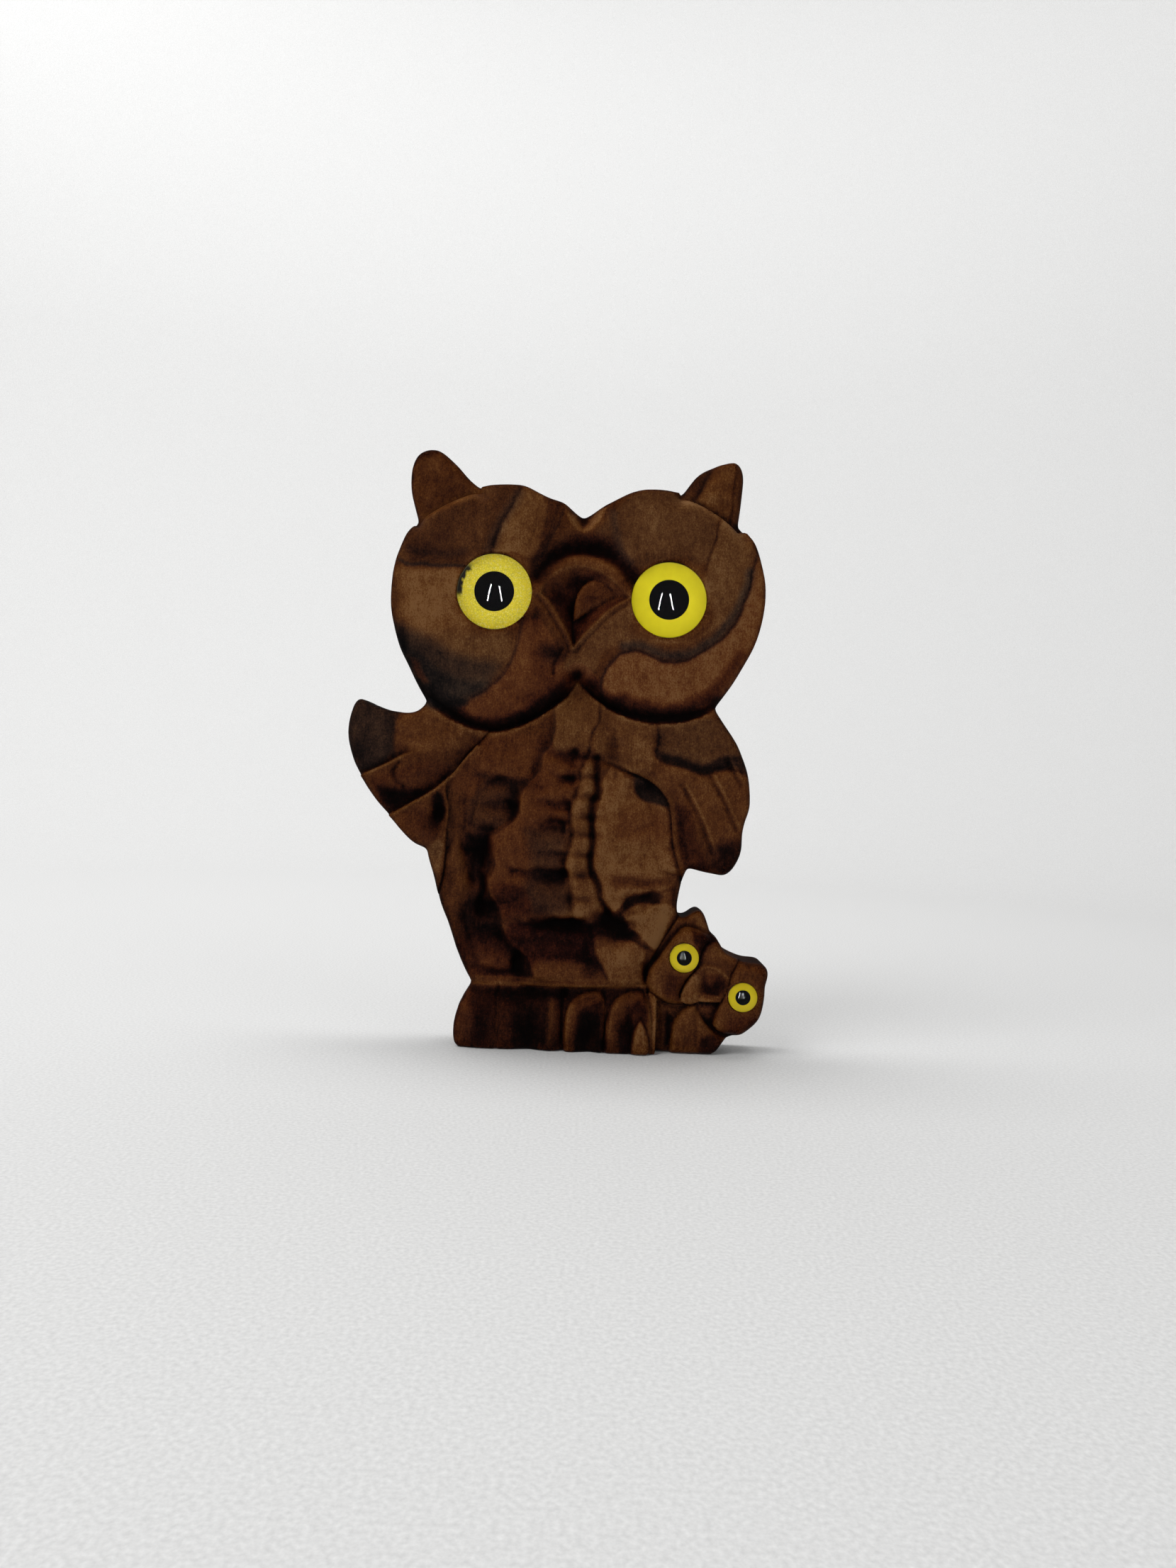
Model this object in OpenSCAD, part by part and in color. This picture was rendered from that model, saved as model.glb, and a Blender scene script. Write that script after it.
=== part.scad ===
// Carved wooden owl with an owlet at its side and four inset glass eyes.
// Millimetres.  The figure stands: +Z is up, the carved front faces -Y,
// the sawn base rests on z = 0 and the flat back is the plane y = +wood_t/2.

/* [Overall] */
// Height of the carving from the floor to the ear tips
owl_h = 145; // [110:1:180]
// Width of the carving from wing tip to owlet
owl_w = 104.5; // [80:0.5:130]
// Thickness of the board the figure is carved from, at the base
wood_t = 15; // [12:0.5:20]

/* [Relief] */
// How far the two face discs stand proud of the base front
head_rise = 1.2; // [0.5:0.1:2.5]
// How far the wings stay behind the base front
wing_drop = 1.0; // [0.5:0.1:2]
// How far the ears stay behind the base front
ear_drop = 4.0; // [3:0.1:5]
// Depth of the scalloped gouge cuts on the belly
gouge_cut = 1.4; // [0.5:0.1:2]

/* [Glass eyes] */
// Diameter of the two large glass eyes
big_eye_d = 18; // [14:0.5:22]
// Diameter of the owlet's two glass eyes
small_eye_d = 7; // [5.5:0.5:8.5]
// Pupil diameter of a large eye
big_pupil_d = 8.6; // [6:0.1:11]
// Pupil diameter of a small eye
small_pupil_d = 3.2; // [2.2:0.1:4.4]
// Height of a large eye's dome above its rim
big_dome_h = 3.6; // [2.5:0.1:5]
// Height of a small eye's dome above its rim
small_dome_h = 1.5; // [1:0.1:2]
// Straight rim of a large eye's glass
big_rim = 1.2; // [0.8:0.1:2]
// Straight rim of a small eye's glass
small_rim = 0.6; // [0.4:0.1:1]
// Diameter of the wire shank behind a large eye
big_wire_d = 1.2; // [1:0.1:1.6]
// Diameter of the wire shank behind a small eye
small_wire_d = 0.8; // [0.6:0.1:1]
// Length of the wire shank behind a large eye
big_wire_l = 7.5; // [6:0.1:9]
// Length of the wire shank behind a small eye
small_wire_l = 5.2; // [4:0.1:6.5]

/* [Paint and glue] */
// Paint coat on the back of a large eye
big_coat = 0.3; // [0.2:0.1:0.4]
// Paint coat on the back of a small eye
small_coat = 0.2; // [0.2:0.1:0.3]
// Glue bed below a large eye
big_glue = 0.5; // [0.3:0.1:0.8]
// Glue bed below a small eye
small_glue = 0.3; // [0.2:0.1:0.5]

/* [Fits] */
// Radial clearance between a glass eye and its socket
socket_clear = 0.1; // [0.05:0.05:0.3]
// Radial clearance of the pupil dot in its paint coat
paint_clear = 0.05; // [0.03:0.01:0.1]
// Radial clearance of a wire shank in its glue bed and pilot hole
wire_clear = 0.08; // [0.05:0.01:0.2]
// Free depth left beyond the end of a wire shank
pilot_end = 0.5; // [0.3:0.1:1]
// Depth of a large eye's rim below the wood around it
big_sink = 0.5; // [0.2:0.1:1]
// Depth of a small eye's rim below the wood around it
small_sink = 0.2; // [0.1:0.1:0.5]
// How far the paint coat stops short of the glass edge
coat_edge = 0.2; // [0.1:0.1:0.4]

/* [Hidden] */

$fn = 96;

// stretch from the drawn figure (104.5 x 145) to the sizes asked for
sx = owl_w / 104.5;
sz = owl_h / 145;

// levels, measured toward the viewer from the middle of the board
back_y = wood_t / 2;
base_f = wood_t / 2;
head_f = base_f + head_rise;
wing_f = base_f - wing_drop;
ear_f = base_f - ear_drop;
belly_f = base_f + 0.2;
chick_f = base_f - 0.8;

// eye centres on the drawn figure, as [x, z]
left_eye_at = [-25.5, 110];
right_eye_at = [16.5, 109.5];
chick_left_at = [23.5, 23.5];
chick_right_at = [38, 14.5];

// ---------- curves ----------

function cr(a, b, c, d, t) =
  0.5 * (2 * b + (c - a) * t + (2 * a - 5 * b + 4 * c - d) * t * t
  + (3 * b - a - 3 * c + d) * t * t * t);

// smooth run through hand-set points, last point left for the next run
function run(p, n) = [
  for (i = [0 : len(p) - 2])
    for (k = [0 : n - 1])
      let (
        a = i == 0 ? 2 * p[0] - p[1] : p[i - 1],
        d = i + 2 < len(p) ? p[i + 2] : 2 * p[len(p) - 1] - p[len(p) - 2]
      )
      cr(a, p[i], p[i + 1], d, k / n)
];

function fit(p) = [for (q = p) [q[0] * sx, q[1] * sz]];

// ---------- outlines, drawn clockwise from the owl's left-hand ear ----------

ear_a = [
  [-45, 127], [-47, 134], [-47.3, 139], [-46.4, 142.5], [-44.5, 144.5],
  [-42, 145], [-39.8, 144.4], [-36, 141.2], [-33, 138], [-30, 135.7]
];
crown_a = [
  [-30, 135.7], [-27.5, 136.2], [-20, 136.4], [-16.5, 135], [-13, 133.4],
  [-9.5, 132.4], [-7.5, 131], [-4.8, 129.3]
];
crown_b = [
  [-4.8, 129.3], [-2, 130.8], [2, 133], [6, 135.2], [9.5, 136.3],
  [13, 136.5], [19, 136]
];
ear_b = [
  [19, 136], [20.5, 138.2], [22.5, 140.8], [25, 142.7], [27.5, 143.7],
  [29.5, 144.2], [31.7, 144.6], [33.2, 143.7], [34, 141], [33.8, 137],
  [33.5, 133], [33, 128.8]
];
cheek_b = [
  [33, 128.8], [35.5, 126.5], [37.5, 123], [39, 118], [39.8, 114],
  [39.8, 109], [39, 104], [37.5, 99], [35, 94], [32.5, 89.5], [28.7, 84]
];
wing_b = [
  [28.7, 84], [31.5, 80], [34.5, 75.8], [36.5, 71.5], [37.8, 67.5],
  [38.3, 63], [38.3, 60], [37.2, 56.5], [36.7, 53.5], [36.7, 50],
  [35.8, 47], [34, 44.5], [32.5, 43.5], [30.5, 43.8], [27.5, 44.3],
  [25.5, 44.8], [23.5, 45.2]
];
flank_b = [[23.5, 45.2], [22.6, 42], [22, 39], [21.5, 35.5], [22, 33]];
chick_ear = [
  [22, 33], [24, 33], [25.5, 34.2], [27, 34.9], [28.2, 34], [29.2, 31.5], [30, 29]
];
chick_top = [
  [30, 29], [31.5, 28], [32.5, 26.5], [33.5, 25], [36, 23.7], [39, 22.7],
  [42.5, 22.5], [44, 21.2], [44.2, 19.5], [43.5, 17]
];
chick_cheek = [
  [43.5, 17], [43.5, 14.5], [43, 11], [42, 8.5], [40, 6.5], [38, 5], [35.5, 4.3]
];
chick_foot = [[35.5, 4.3], [34, 3.3], [33, 2], [32, 0.6], [31, 0]];
floor_line = [[31, 0], [0, 0], [-30.5, 0]];
log_a = [
  [-30.5, 0], [-31.5, 1], [-31.8, 4], [-31.5, 7], [-30.5, 10.5], [-29, 13.5],
  [-27.8, 15.2]
];
flank_a = [
  [-27.8, 15.2], [-29.5, 18], [-32, 23.5], [-34, 29], [-36, 33.5],
  [-37.2, 37], [-38.3, 41], [-39.5, 44.5], [-40, 47.5]
];
wing_a = [
  [-40, 47.5], [-43, 48.7], [-45.5, 51], [-49, 54.8], [-52, 58], [-55, 62],
  [-57.5, 66], [-59.2, 70], [-60.3, 74.5], [-60, 78.5], [-59, 82],
  [-57.5, 83.5], [-55, 82.4], [-52, 81.3], [-49, 80.6], [-45.5, 80.3],
  [-43, 81], [-41, 83]
];
cheek_a = [
  [-41, 83], [-43.5, 87], [-46, 92], [-48, 96], [-49.5, 101], [-50.5, 106],
  [-50.5, 112], [-49.8, 117], [-48.5, 121], [-47, 124.5], [-45, 127]
];

// creases where belly, wings and owlet meet, inside the figure
crease_a = [
  [-37.4, 36], [-36.8, 43], [-36, 50], [-37, 56], [-36.2, 62], [-33, 68], [-27, 75]
];
crease_b = [
  [10, 70], [14, 66.5], [17, 63.5], [18.8, 60], [20, 55], [21.2, 50], [22.6, 45]
];
crease_c = [[22, 33], [20, 29.5], [18, 26.5], [15.5, 22], [14.5, 17]];

outline = concat(
  run(ear_a, 4), run(crown_a, 3), run(crown_b, 3), run(ear_b, 3), run(cheek_b, 3),
  run(wing_b, 3), run(flank_b, 3), run(chick_ear, 3), run(chick_top, 3),
  run(chick_cheek, 3), run(chick_foot, 3), run(floor_line, 1), run(log_a, 3),
  run(flank_a, 3), run(wing_a, 3), run(cheek_a, 3)
);

belly_shape = concat(
  run(crease_a, 3), [[-27, 75], [-27, 92], [10, 92]], run(crease_b, 3),
  run([[22.6, 45], [22, 40], [21.5, 36], [22, 33]], 3), run(crease_c, 3),
  [[14.5, 17], [14.5, 14], [-45, 14], [-45, 36]]
);

wing_a_shape = [
  [-38.5, 36], [-37.6, 43], [-37, 50], [-38, 56], [-37.2, 62], [-34, 68],
  [-28, 74], [-25, 77], [-25, 92], [-70, 92], [-70, 36]
];

wing_b_shape = [
  [9, 75], [12, 71], [15, 67.5], [18, 64.5], [19.8, 60], [21, 55], [22.2, 50],
  [23.4, 45], [23.4, 30], [60, 40], [60, 92], [9, 92]
];

// ---------- helpers ----------

// extrude a flat drawing (x, z) from level f in front to level b behind
module plate(f, b) {
  translate([0, b, 0])
    rotate([90, 0, 0])
      linear_extrude(height = f + b)
        children();
}

// stretched ball with its centre in the figure at (x, z), level f
module ball_at(x, z, f, rx, ry, rz, turn = 0) {
  translate([x * sx, -f, z * sz])
    rotate([0, turn, 0])
      scale([rx * sx, ry, rz * sz])
        sphere(r = 1);
}

// very large sphere whose front just reaches level f at (x, z)
module lens(x, z, f, r) {
  translate([x * sx, r - f, z * sz])
    sphere(r = r);
}

// scooping cut of depth cut below level f at (x, z), made with a round tool
module scoop(x, z, f, cut, r) {
  translate([x * sx, -f - r + cut, z * sz])
    sphere(r = r);
}

// long gouge of round section from (x0, z0) to (x1, z1), floor at level f
module gouge(x0, z0, x1, z1, f, r) {
  dx = (x1 - x0) * sx;
  dz = (z1 - z0) * sz;
  len_g = sqrt(dx * dx + dz * dz);
  translate([x0 * sx, -f - r, z0 * sz])
    rotate([0, atan2(dx, dz), 0])
      cylinder(h = len_g, r = r);
}

// ---------- parts of the carving ----------

module figure_prism() {
  plate(30, back_y)
    polygon(fit(outline));
}

module board() {
  translate([-80 * sx, -ear_f, -5])
    cube([150 * sx, ear_f + back_y, 160 * sz]);
}

// one face disc: steep rim, rounded shoulder, wide flat lens on top
module face_disc(x, z, rx, rz) {
  intersection() {
    translate([x * sx, 1, z * sz])
      rotate([90, 0, 0])
        scale([rx * sx, rz * sz, 1])
          cylinder(h = 30, r = 1);
    ball_at(x, z, 0, rx * 1.045, head_f * 2.05, rz * 1.045);
    lens(x, z + 1, head_f, 140);
  }
}

module face_discs() {
  face_disc(-24.5, 106.5, 26.6, 30);
  face_disc(14.4, 108.3, 25.6, 28.3);
}

module brow_and_beak() {
  translate([-4 * sx, -(head_f - 0.9), 107 * sz])
    rotate([90, 0, 0])
      rotate([0, 0, 12])
        rotate_extrude(angle = 156)
          translate([10.2 * min(sx, sz), 0])
            circle(r = 1.2);
  translate([-5 * sx, -(head_f - 4.9), 114 * sz])
    rotate([170, 0, 0])
      cylinder(h = 15 * sz, r1 = 4.6, r2 = 0.8);
}

// hollow the beak sits in, and the scoops above and below it
module face_hollows() {
  plate(30, -(head_f - 2.6))
    polygon(fit(concat(
      run([[-13.6, 109.6], [-12.4, 113], [-9, 115.8], [-5, 116.6], [-1, 116], [3, 113.6], [5.6, 109.6]], 3),
      run([[5.6, 109.6], [2, 106.4], [-2, 102.4], [-5.8, 98]], 3),
      run([[-5.8, 98], [-7.6, 102], [-10.6, 106.4], [-13.6, 109.6]], 3)
    )));
  scoop(-4.6, 121.5, head_f, 1.6, 9);
  scoop(-4.6, 130.5, head_f, 4.6, 7);
  scoop(-4.8, 91, head_f - 1, 1.8, 6);
}

// belly: full in the middle, falling away to the flanks and under the head
module belly() {
  intersection() {
    plate(20, 0)
      polygon(fit(belly_shape));
    ball_at(-8, 42, -30, 65, belly_f + 30, 115);
  }
}

// rows of round scoops that leave wavy ribs between them
module belly_gouges() {
  for (z = [63, 53.5, 44, 34.5, 25])
    scoop(-28, z, belly_f - 1.8, gouge_cut + 0.3, 12);
  for (z = [75, 66, 57.5, 49, 40.5])
    scoop(-13, z, belly_f - 0.6 - max(0, z - 66) / 12, gouge_cut, 15);
  scoop(-10, 27, belly_f, gouge_cut + 0.3, 17);
  scoop(-12, 20, belly_f - 0.3, gouge_cut - 0.4, 14);
  scoop(-5.5, 81, belly_f - 2, gouge_cut, 13);
  scoop(11, 57, belly_f - 0.7, gouge_cut - 0.2, 20);
  scoop(11.5, 46, belly_f - 0.9, gouge_cut - 0.2, 18);
  scoop(6, 31.5, belly_f - 0.4, gouge_cut + 0.9, 8);
  gouge(0.6, 34, 0.6, 72, belly_f - 0.9, 4);
}

module wing_left_solid() {
  intersection() {
    plate(20, 0)
      polygon(fit(wing_a_shape));
    lens(-44, 70, wing_f, 60);
  }
}

module wing_right_solid() {
  intersection() {
    plate(20, 0)
      polygon(fit(wing_b_shape));
    lens(24, 66, wing_f + 0.2, 60);
  }
}

module wing_gouges() {
  gouge(-62, 57, -36, 71, wing_f - 1.9, 9);
  gouge(-56, 46, -34, 63, wing_f - 1.9, 8);
  gouge(25, 66, 31.5, 46, wing_f - 0.9, 12);
}

// log the owl perches on, with two toes and a small claw
module perch() {
  intersection() {
    plate(20, back_y)
      polygon(fit([[-40, 0], [-40, 15.2], [17, 15.2], [17, 0]]));
    translate([-60 * sx, 6, 5 * sz])
      rotate([0, 90, 0])
        cylinder(h = 120 * sx, r = base_f + 6);
  }
  ball_at(0, 6, base_f - 5.2, 5, 5.4, 9);
  ball_at(9.6, 6, base_f - 5.2, 5.4, 5.6, 8.6);
  ball_at(13.2, 4.4, base_f - 0.6, 2.3, 1.3, 4);
}

module perch_gouges() {
  gouge(-13.5, -4, -13.5, 14, base_f - 1.1, 4);
  gouge(-24, -4, -24, 13, base_f - 0.6, 9);
  gouge(-28, 15.6, 15, 15.6, base_f - 2.4, 2);
}

// owlet: breast, two face discs tilted to one side, beak
module owlet() {
  ball_at(25.5, 4.5, 0, 9, chick_f - 0.6, 10);
  intersection() {
    ball_at(23.2, 21.6, 0, 8.6, chick_f + 1.6, 9.6, 14);
    lens(23.5, 22, chick_f, 40);
  }
  intersection() {
    ball_at(37.2, 13.8, 0, 6.6, chick_f + 1.6, 9.4, -8);
    lens(37.6, 14, chick_f, 40);
  }
  intersection() {
    ball_at(31.5, 19.5, 0, 7, chick_f + 0.4, 7.5, 20);
    lens(31, 20, chick_f - 0.8, 40);
  }
  translate([30.5 * sx, -(chick_f - 3.1), 18 * sz])
    rotate([0, 27, 0])
      rotate([172, 0, 0])
        cylinder(h = 5.8, r1 = 2.6, r2 = 0.5);
}

module owlet_hollows() {
  scoop(31.4, 16.4, chick_f, 1.6, 3.4);
  scoop(29.4, 10, chick_f - 1, 1.6, 2.4);
}

// straight round pocket for an eye and the pilot hole of its wire
module eye_pocket(at, face, d, rim, sink, coat, glue, wire_d, wire_l) {
  seat = face - sink - rim - coat - glue;
  translate([at[0] * sx, -seat, at[1] * sz])
    rotate([90, 0, 0])
      cylinder(h = 12, d = d + 2 * socket_clear);
  translate([at[0] * sx, -seat + wire_l - glue + pilot_end, at[1] * sz])
    rotate([90, 0, 0])
      cylinder(h = wire_l + pilot_end + 1, d = wire_d + 2 * wire_clear);
}

module big_pocket(at) {
  eye_pocket(at, head_f, big_eye_d, big_rim, big_sink, big_coat, big_glue, big_wire_d, big_wire_l);
}

module small_pocket(at) {
  eye_pocket(
    at, chick_f, small_eye_d, small_rim, small_sink, small_coat, small_glue,
    small_wire_d, small_wire_l
  );
}

module carving() {
  color("#6b3f22")
    difference() {
      union() {
        difference() {
          intersection() {
            figure_prism();
            union() {
              board();
              face_discs();
              belly();
              wing_left_solid();
              wing_right_solid();
              perch();
              owlet();
            }
          }
          face_hollows();
          belly_gouges();
          wing_gouges();
          perch_gouges();
          owlet_hollows();
        }
        brow_and_beak();
      }
      big_pocket(left_eye_at);
      big_pocket(right_eye_at);
      small_pocket(chick_left_at);
      small_pocket(chick_right_at);
    }
}

// ---------- glass eyes ----------

// place a child, drawn with its axis on Z and its front up, at level f
module eye_place(at, f) {
  translate([at[0] * sx, -f, at[1] * sz])
    rotate([90, 0, 0])
      children();
}

function cap_r(d, h) = (d * d / 4 + h * h) / (2 * h);

module glass_body(d, rim, h) {
  r = cap_r(d, h);
  intersection() {
    cylinder(h = rim + h, d = d);
    translate([0, 0, rim + h - r])
      sphere(r = r);
  }
}

module pupil_body(pupil_d, coat) {
  cylinder(h = coat / 2, d = pupil_d);
}

// paint coat on the back of the glass, with a shallow well for the pupil
module iris_body(d, pupil_d, coat) {
  difference() {
    cylinder(h = coat, d = d - 2 * coat_edge);
    translate([0, 0, coat / 2])
      cylinder(h = coat, d = pupil_d + 2 * paint_clear);
  }
}

module wire_body(wire_d, wire_l) {
  translate([0, 0, -wire_l])
    cylinder(h = wire_l, d = wire_d);
}

module glue_body(d, glue, wire_d) {
  difference() {
    cylinder(h = glue, d = d);
    translate([0, 0, -1])
      cylinder(h = glue + 2, d = wire_d + 2 * wire_clear);
  }
}

module big_glass(at) {
  color("#dfe8ea", 0.5)
    eye_place(at, head_f - big_sink - big_rim)
      glass_body(big_eye_d, big_rim, big_dome_h);
}

module big_pupil(at) {
  color("#0b0b0c")
    eye_place(at, head_f - big_sink - big_rim - big_coat / 2)
      pupil_body(big_pupil_d, big_coat);
}

module big_iris(at) {
  color("#e3d21c")
    eye_place(at, head_f - big_sink - big_rim - big_coat)
      iris_body(big_eye_d, big_pupil_d, big_coat);
}

module big_wire(at) {
  color("#8c8c8c")
    eye_place(at, head_f - big_sink - big_rim - big_coat)
      wire_body(big_wire_d, big_wire_l);
}

module big_bed(at) {
  color("#b9a878")
    eye_place(at, head_f - big_sink - big_rim - big_coat - big_glue)
      glue_body(big_eye_d, big_glue, big_wire_d);
}

module small_glass(at) {
  color("#dfe8ea", 0.5)
    eye_place(at, chick_f - small_sink - small_rim)
      glass_body(small_eye_d, small_rim, small_dome_h);
}

module small_pupil(at) {
  color("#0b0b0c")
    eye_place(at, chick_f - small_sink - small_rim - small_coat / 2)
      pupil_body(small_pupil_d, small_coat);
}

module small_iris(at) {
  color("#d9c41a")
    eye_place(at, chick_f - small_sink - small_rim - small_coat)
      iris_body(small_eye_d, small_pupil_d, small_coat);
}

module small_wire(at) {
  color("#8c8c8c")
    eye_place(at, chick_f - small_sink - small_rim - small_coat)
      wire_body(small_wire_d, small_wire_l);
}

module small_bed(at) {
  color("#b9a878")
    eye_place(at, chick_f - small_sink - small_rim - small_coat - small_glue)
      glue_body(small_eye_d, small_glue, small_wire_d);
}

module left_eye_glass() { big_glass(left_eye_at); }
module left_eye_pupil() { big_pupil(left_eye_at); }
module left_eye_iris() { big_iris(left_eye_at); }
module left_eye_wire() { big_wire(left_eye_at); }
module left_eye_glue() { big_bed(left_eye_at); }

module right_eye_glass() { big_glass(right_eye_at); }
module right_eye_pupil() { big_pupil(right_eye_at); }
module right_eye_iris() { big_iris(right_eye_at); }
module right_eye_wire() { big_wire(right_eye_at); }
module right_eye_glue() { big_bed(right_eye_at); }

module chick_left_eye_glass() { small_glass(chick_left_at); }
module chick_left_eye_pupil() { small_pupil(chick_left_at); }
module chick_left_eye_iris() { small_iris(chick_left_at); }
module chick_left_eye_wire() { small_wire(chick_left_at); }
module chick_left_eye_glue() { small_bed(chick_left_at); }

module chick_right_eye_glass() { small_glass(chick_right_at); }
module chick_right_eye_pupil() { small_pupil(chick_right_at); }
module chick_right_eye_iris() { small_iris(chick_right_at); }
module chick_right_eye_wire() { small_wire(chick_right_at); }
module chick_right_eye_glue() { small_bed(chick_right_at); }

carving();
left_eye_glass();
left_eye_pupil();
left_eye_iris();
left_eye_wire();
left_eye_glue();
right_eye_glass();
right_eye_pupil();
right_eye_iris();
right_eye_wire();
right_eye_glue();
chick_left_eye_glass();
chick_left_eye_pupil();
chick_left_eye_iris();
chick_left_eye_wire();
chick_left_eye_glue();
chick_right_eye_glass();
chick_right_eye_pupil();
chick_right_eye_iris();
chick_right_eye_wire();
chick_right_eye_glue();
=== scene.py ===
import math

import bpy
import numpy as np
from mathutils import Matrix, Vector, geometry, noise


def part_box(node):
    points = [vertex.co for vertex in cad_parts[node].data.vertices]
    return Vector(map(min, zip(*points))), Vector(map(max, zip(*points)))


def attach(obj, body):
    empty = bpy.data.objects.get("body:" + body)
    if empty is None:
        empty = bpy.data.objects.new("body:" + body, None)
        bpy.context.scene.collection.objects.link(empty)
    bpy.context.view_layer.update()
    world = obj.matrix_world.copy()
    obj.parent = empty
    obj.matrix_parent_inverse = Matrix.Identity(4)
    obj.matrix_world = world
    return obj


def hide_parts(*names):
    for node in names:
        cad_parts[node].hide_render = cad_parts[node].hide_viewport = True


# Carved wooden owl with owlet and glass eyes.  Drawing units are millimetres in the
# frame's own axes: x to the viewer's right, z up, h = height toward the viewer (-Y).
MM = 0.001

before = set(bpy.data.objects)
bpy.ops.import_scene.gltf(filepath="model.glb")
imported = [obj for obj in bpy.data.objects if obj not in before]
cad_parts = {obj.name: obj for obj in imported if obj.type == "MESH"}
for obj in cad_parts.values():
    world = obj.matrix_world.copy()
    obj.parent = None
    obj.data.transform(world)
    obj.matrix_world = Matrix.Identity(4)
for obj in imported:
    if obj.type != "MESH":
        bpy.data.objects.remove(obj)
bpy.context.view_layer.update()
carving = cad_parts["carving"]
wood_lo, wood_hi = (np.array(c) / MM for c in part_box("carving"))
BACK_H = -wood_hi[1]            # level of the flat back
FACE_H = -wood_lo[1]            # level of the highest wood
BASE_H = wood_hi[1]             # level of the perch log's front
EYES = ("left_eye", "right_eye", "chick_left_eye", "chick_right_eye")

GRID = 0.42                     # mesh step on the carved front
RIM_STEP = 0.5                  # mesh step along outlines and creases
FINE = 0.8                      # step along the small lines of the face and the owlet
ABSENT = -99                    # level where a layer has no wood
LOG_RADIUS = 22                 # roundness of the perch log's front
BELLY_RADIUS = 30               # how far the belly's dome is centred behind the board's middle
GLASS_RIM = 0.27                # share of an eye's height that is its straight rim


# ---------------------------------------------------------------- curves and fields

def smooth_run(points, per=6):
    """Catmull-Rom curve through given points."""
    p = np.array(points, float)
    p = np.vstack([2 * p[0] - p[1], p, 2 * p[-1] - p[-2]])
    t = np.linspace(0, 1, per, endpoint=False)[:, None]
    out = []
    for a, b, c, d in zip(p[:-3], p[1:-2], p[2:-1], p[3:]):
        out.append(0.5 * (2 * b + (c - a) * t + (2 * a - 5 * b + 4 * c - d) * t ** 2
                          + (3 * b - a - 3 * c + d) * t ** 3))
    return np.vstack(out + [p[-2:-1]])


def even(line, step):
    """The same line with points at even steps."""
    lengths = np.r_[0, np.cumsum(np.linalg.norm(np.diff(line, axis=0), axis=1))]
    n = max(2, int(round(lengths[-1] / step)) + 1)
    at = np.linspace(0, lengths[-1], n)
    return np.stack([np.interp(at, lengths, line[:, k]) for k in (0, 1)], 1)


def curve(points, step=1.2):
    return even(smooth_run(points), step)


def tiles(P, size=8.0):
    """Points sorted into square tiles: their indices and the tile's corners."""
    cell = np.floor(P / size).astype(int)
    order = np.lexsort((cell[:, 1], cell[:, 0]))
    edge = np.flatnonzero((np.diff(cell[order], axis=0) != 0).any(1)) + 1
    for at in np.split(order, edge):
        yield at, P[at].min(0), P[at].max(0)


def distance(P, line, reach=14.0):
    """Distance from each point to an open line, where it is less than reach."""
    a, b = line[:-1], line[1:]
    lo, hi = np.minimum(a, b) - reach, np.maximum(a, b) + reach
    best = np.full(len(P), float(reach))
    for at, low, high in tiles(P):
        near = ((lo < high) & (hi > low)).all(1)
        if near.any():
            p, q, ab = P[at][:, None], a[near][None], (b - a)[near][None]
            t = np.clip(((p - q) * ab).sum(2) / np.maximum((ab * ab).sum(2), 1e-12), 0, 1)
            gap = ((p - q - t[..., None] * ab) ** 2).sum(2).min(1)
            best[at] = np.minimum(best[at], np.sqrt(gap))
    return best


def within(P, loop):
    """True for the points inside a closed line."""
    a, b = loop, np.roll(loop, -1, 0)
    lo, hi = np.minimum(a[:, 1], b[:, 1]), np.maximum(a[:, 1], b[:, 1])
    inside = np.zeros(len(P), bool)
    for at, low, high in tiles(P):
        near = (lo <= high[1]) & (hi > low[1])
        if near.any():
            p, q, r = P[at][:, None], a[near][None], b[near][None]
            hit = (q[..., 1] > p[..., 1]) != (r[..., 1] > p[..., 1])
            rise = np.where(r[..., 1] == q[..., 1], 1, r[..., 1] - q[..., 1])
            cross = p[..., 0] < (r[..., 0] - q[..., 0]) * (p[..., 1] - q[..., 1]) / rise + q[..., 0]
            inside[at] = (hit & cross).sum(1) % 2 == 1
    return inside


def signed(P, loop, reach=14.0):
    """Distance to a closed line, positive inside."""
    d = distance(P, np.vstack([loop, loop[:1]]), reach)
    return np.where(within(P, loop), d, -d)


def step_up(x, lo, hi):
    """Smooth rise from 0 at lo to 1 at hi."""
    t = np.clip((x - lo) / (hi - lo), 0, 1)
    return t * t * (3 - 2 * t)


def bell(d, width):
    return np.exp(-(d / width) ** 2)


def oval(P, x, z, rx, rz, turn=0):
    """Bell-shaped spot, 1 in its middle."""
    c, s = math.cos(math.radians(turn)), math.sin(math.radians(turn))
    u, v = P[:, 0] - x, P[:, 1] - z
    return np.exp(-((u * c + v * s) / rx) ** 2 - ((v * c - u * s) / rz) ** 2)


def shoulder(d, r):
    """Drop of a rounded edge of radius r at distance d inside it."""
    k = np.clip(d, 0, r)
    return r - np.sqrt(np.maximum(r * r - (r - k) ** 2, 0))


def fog(P, size, seed, octaves=3):
    """Smooth noise, about -1 to 1."""
    return np.array([
        noise.fractal(Vector((x / size, z / size, seed)), 0.8, 2.1, octaves)
        for x, z in P.tolist()])


# ---------------------------------------------------------------- outline of the carving

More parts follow.
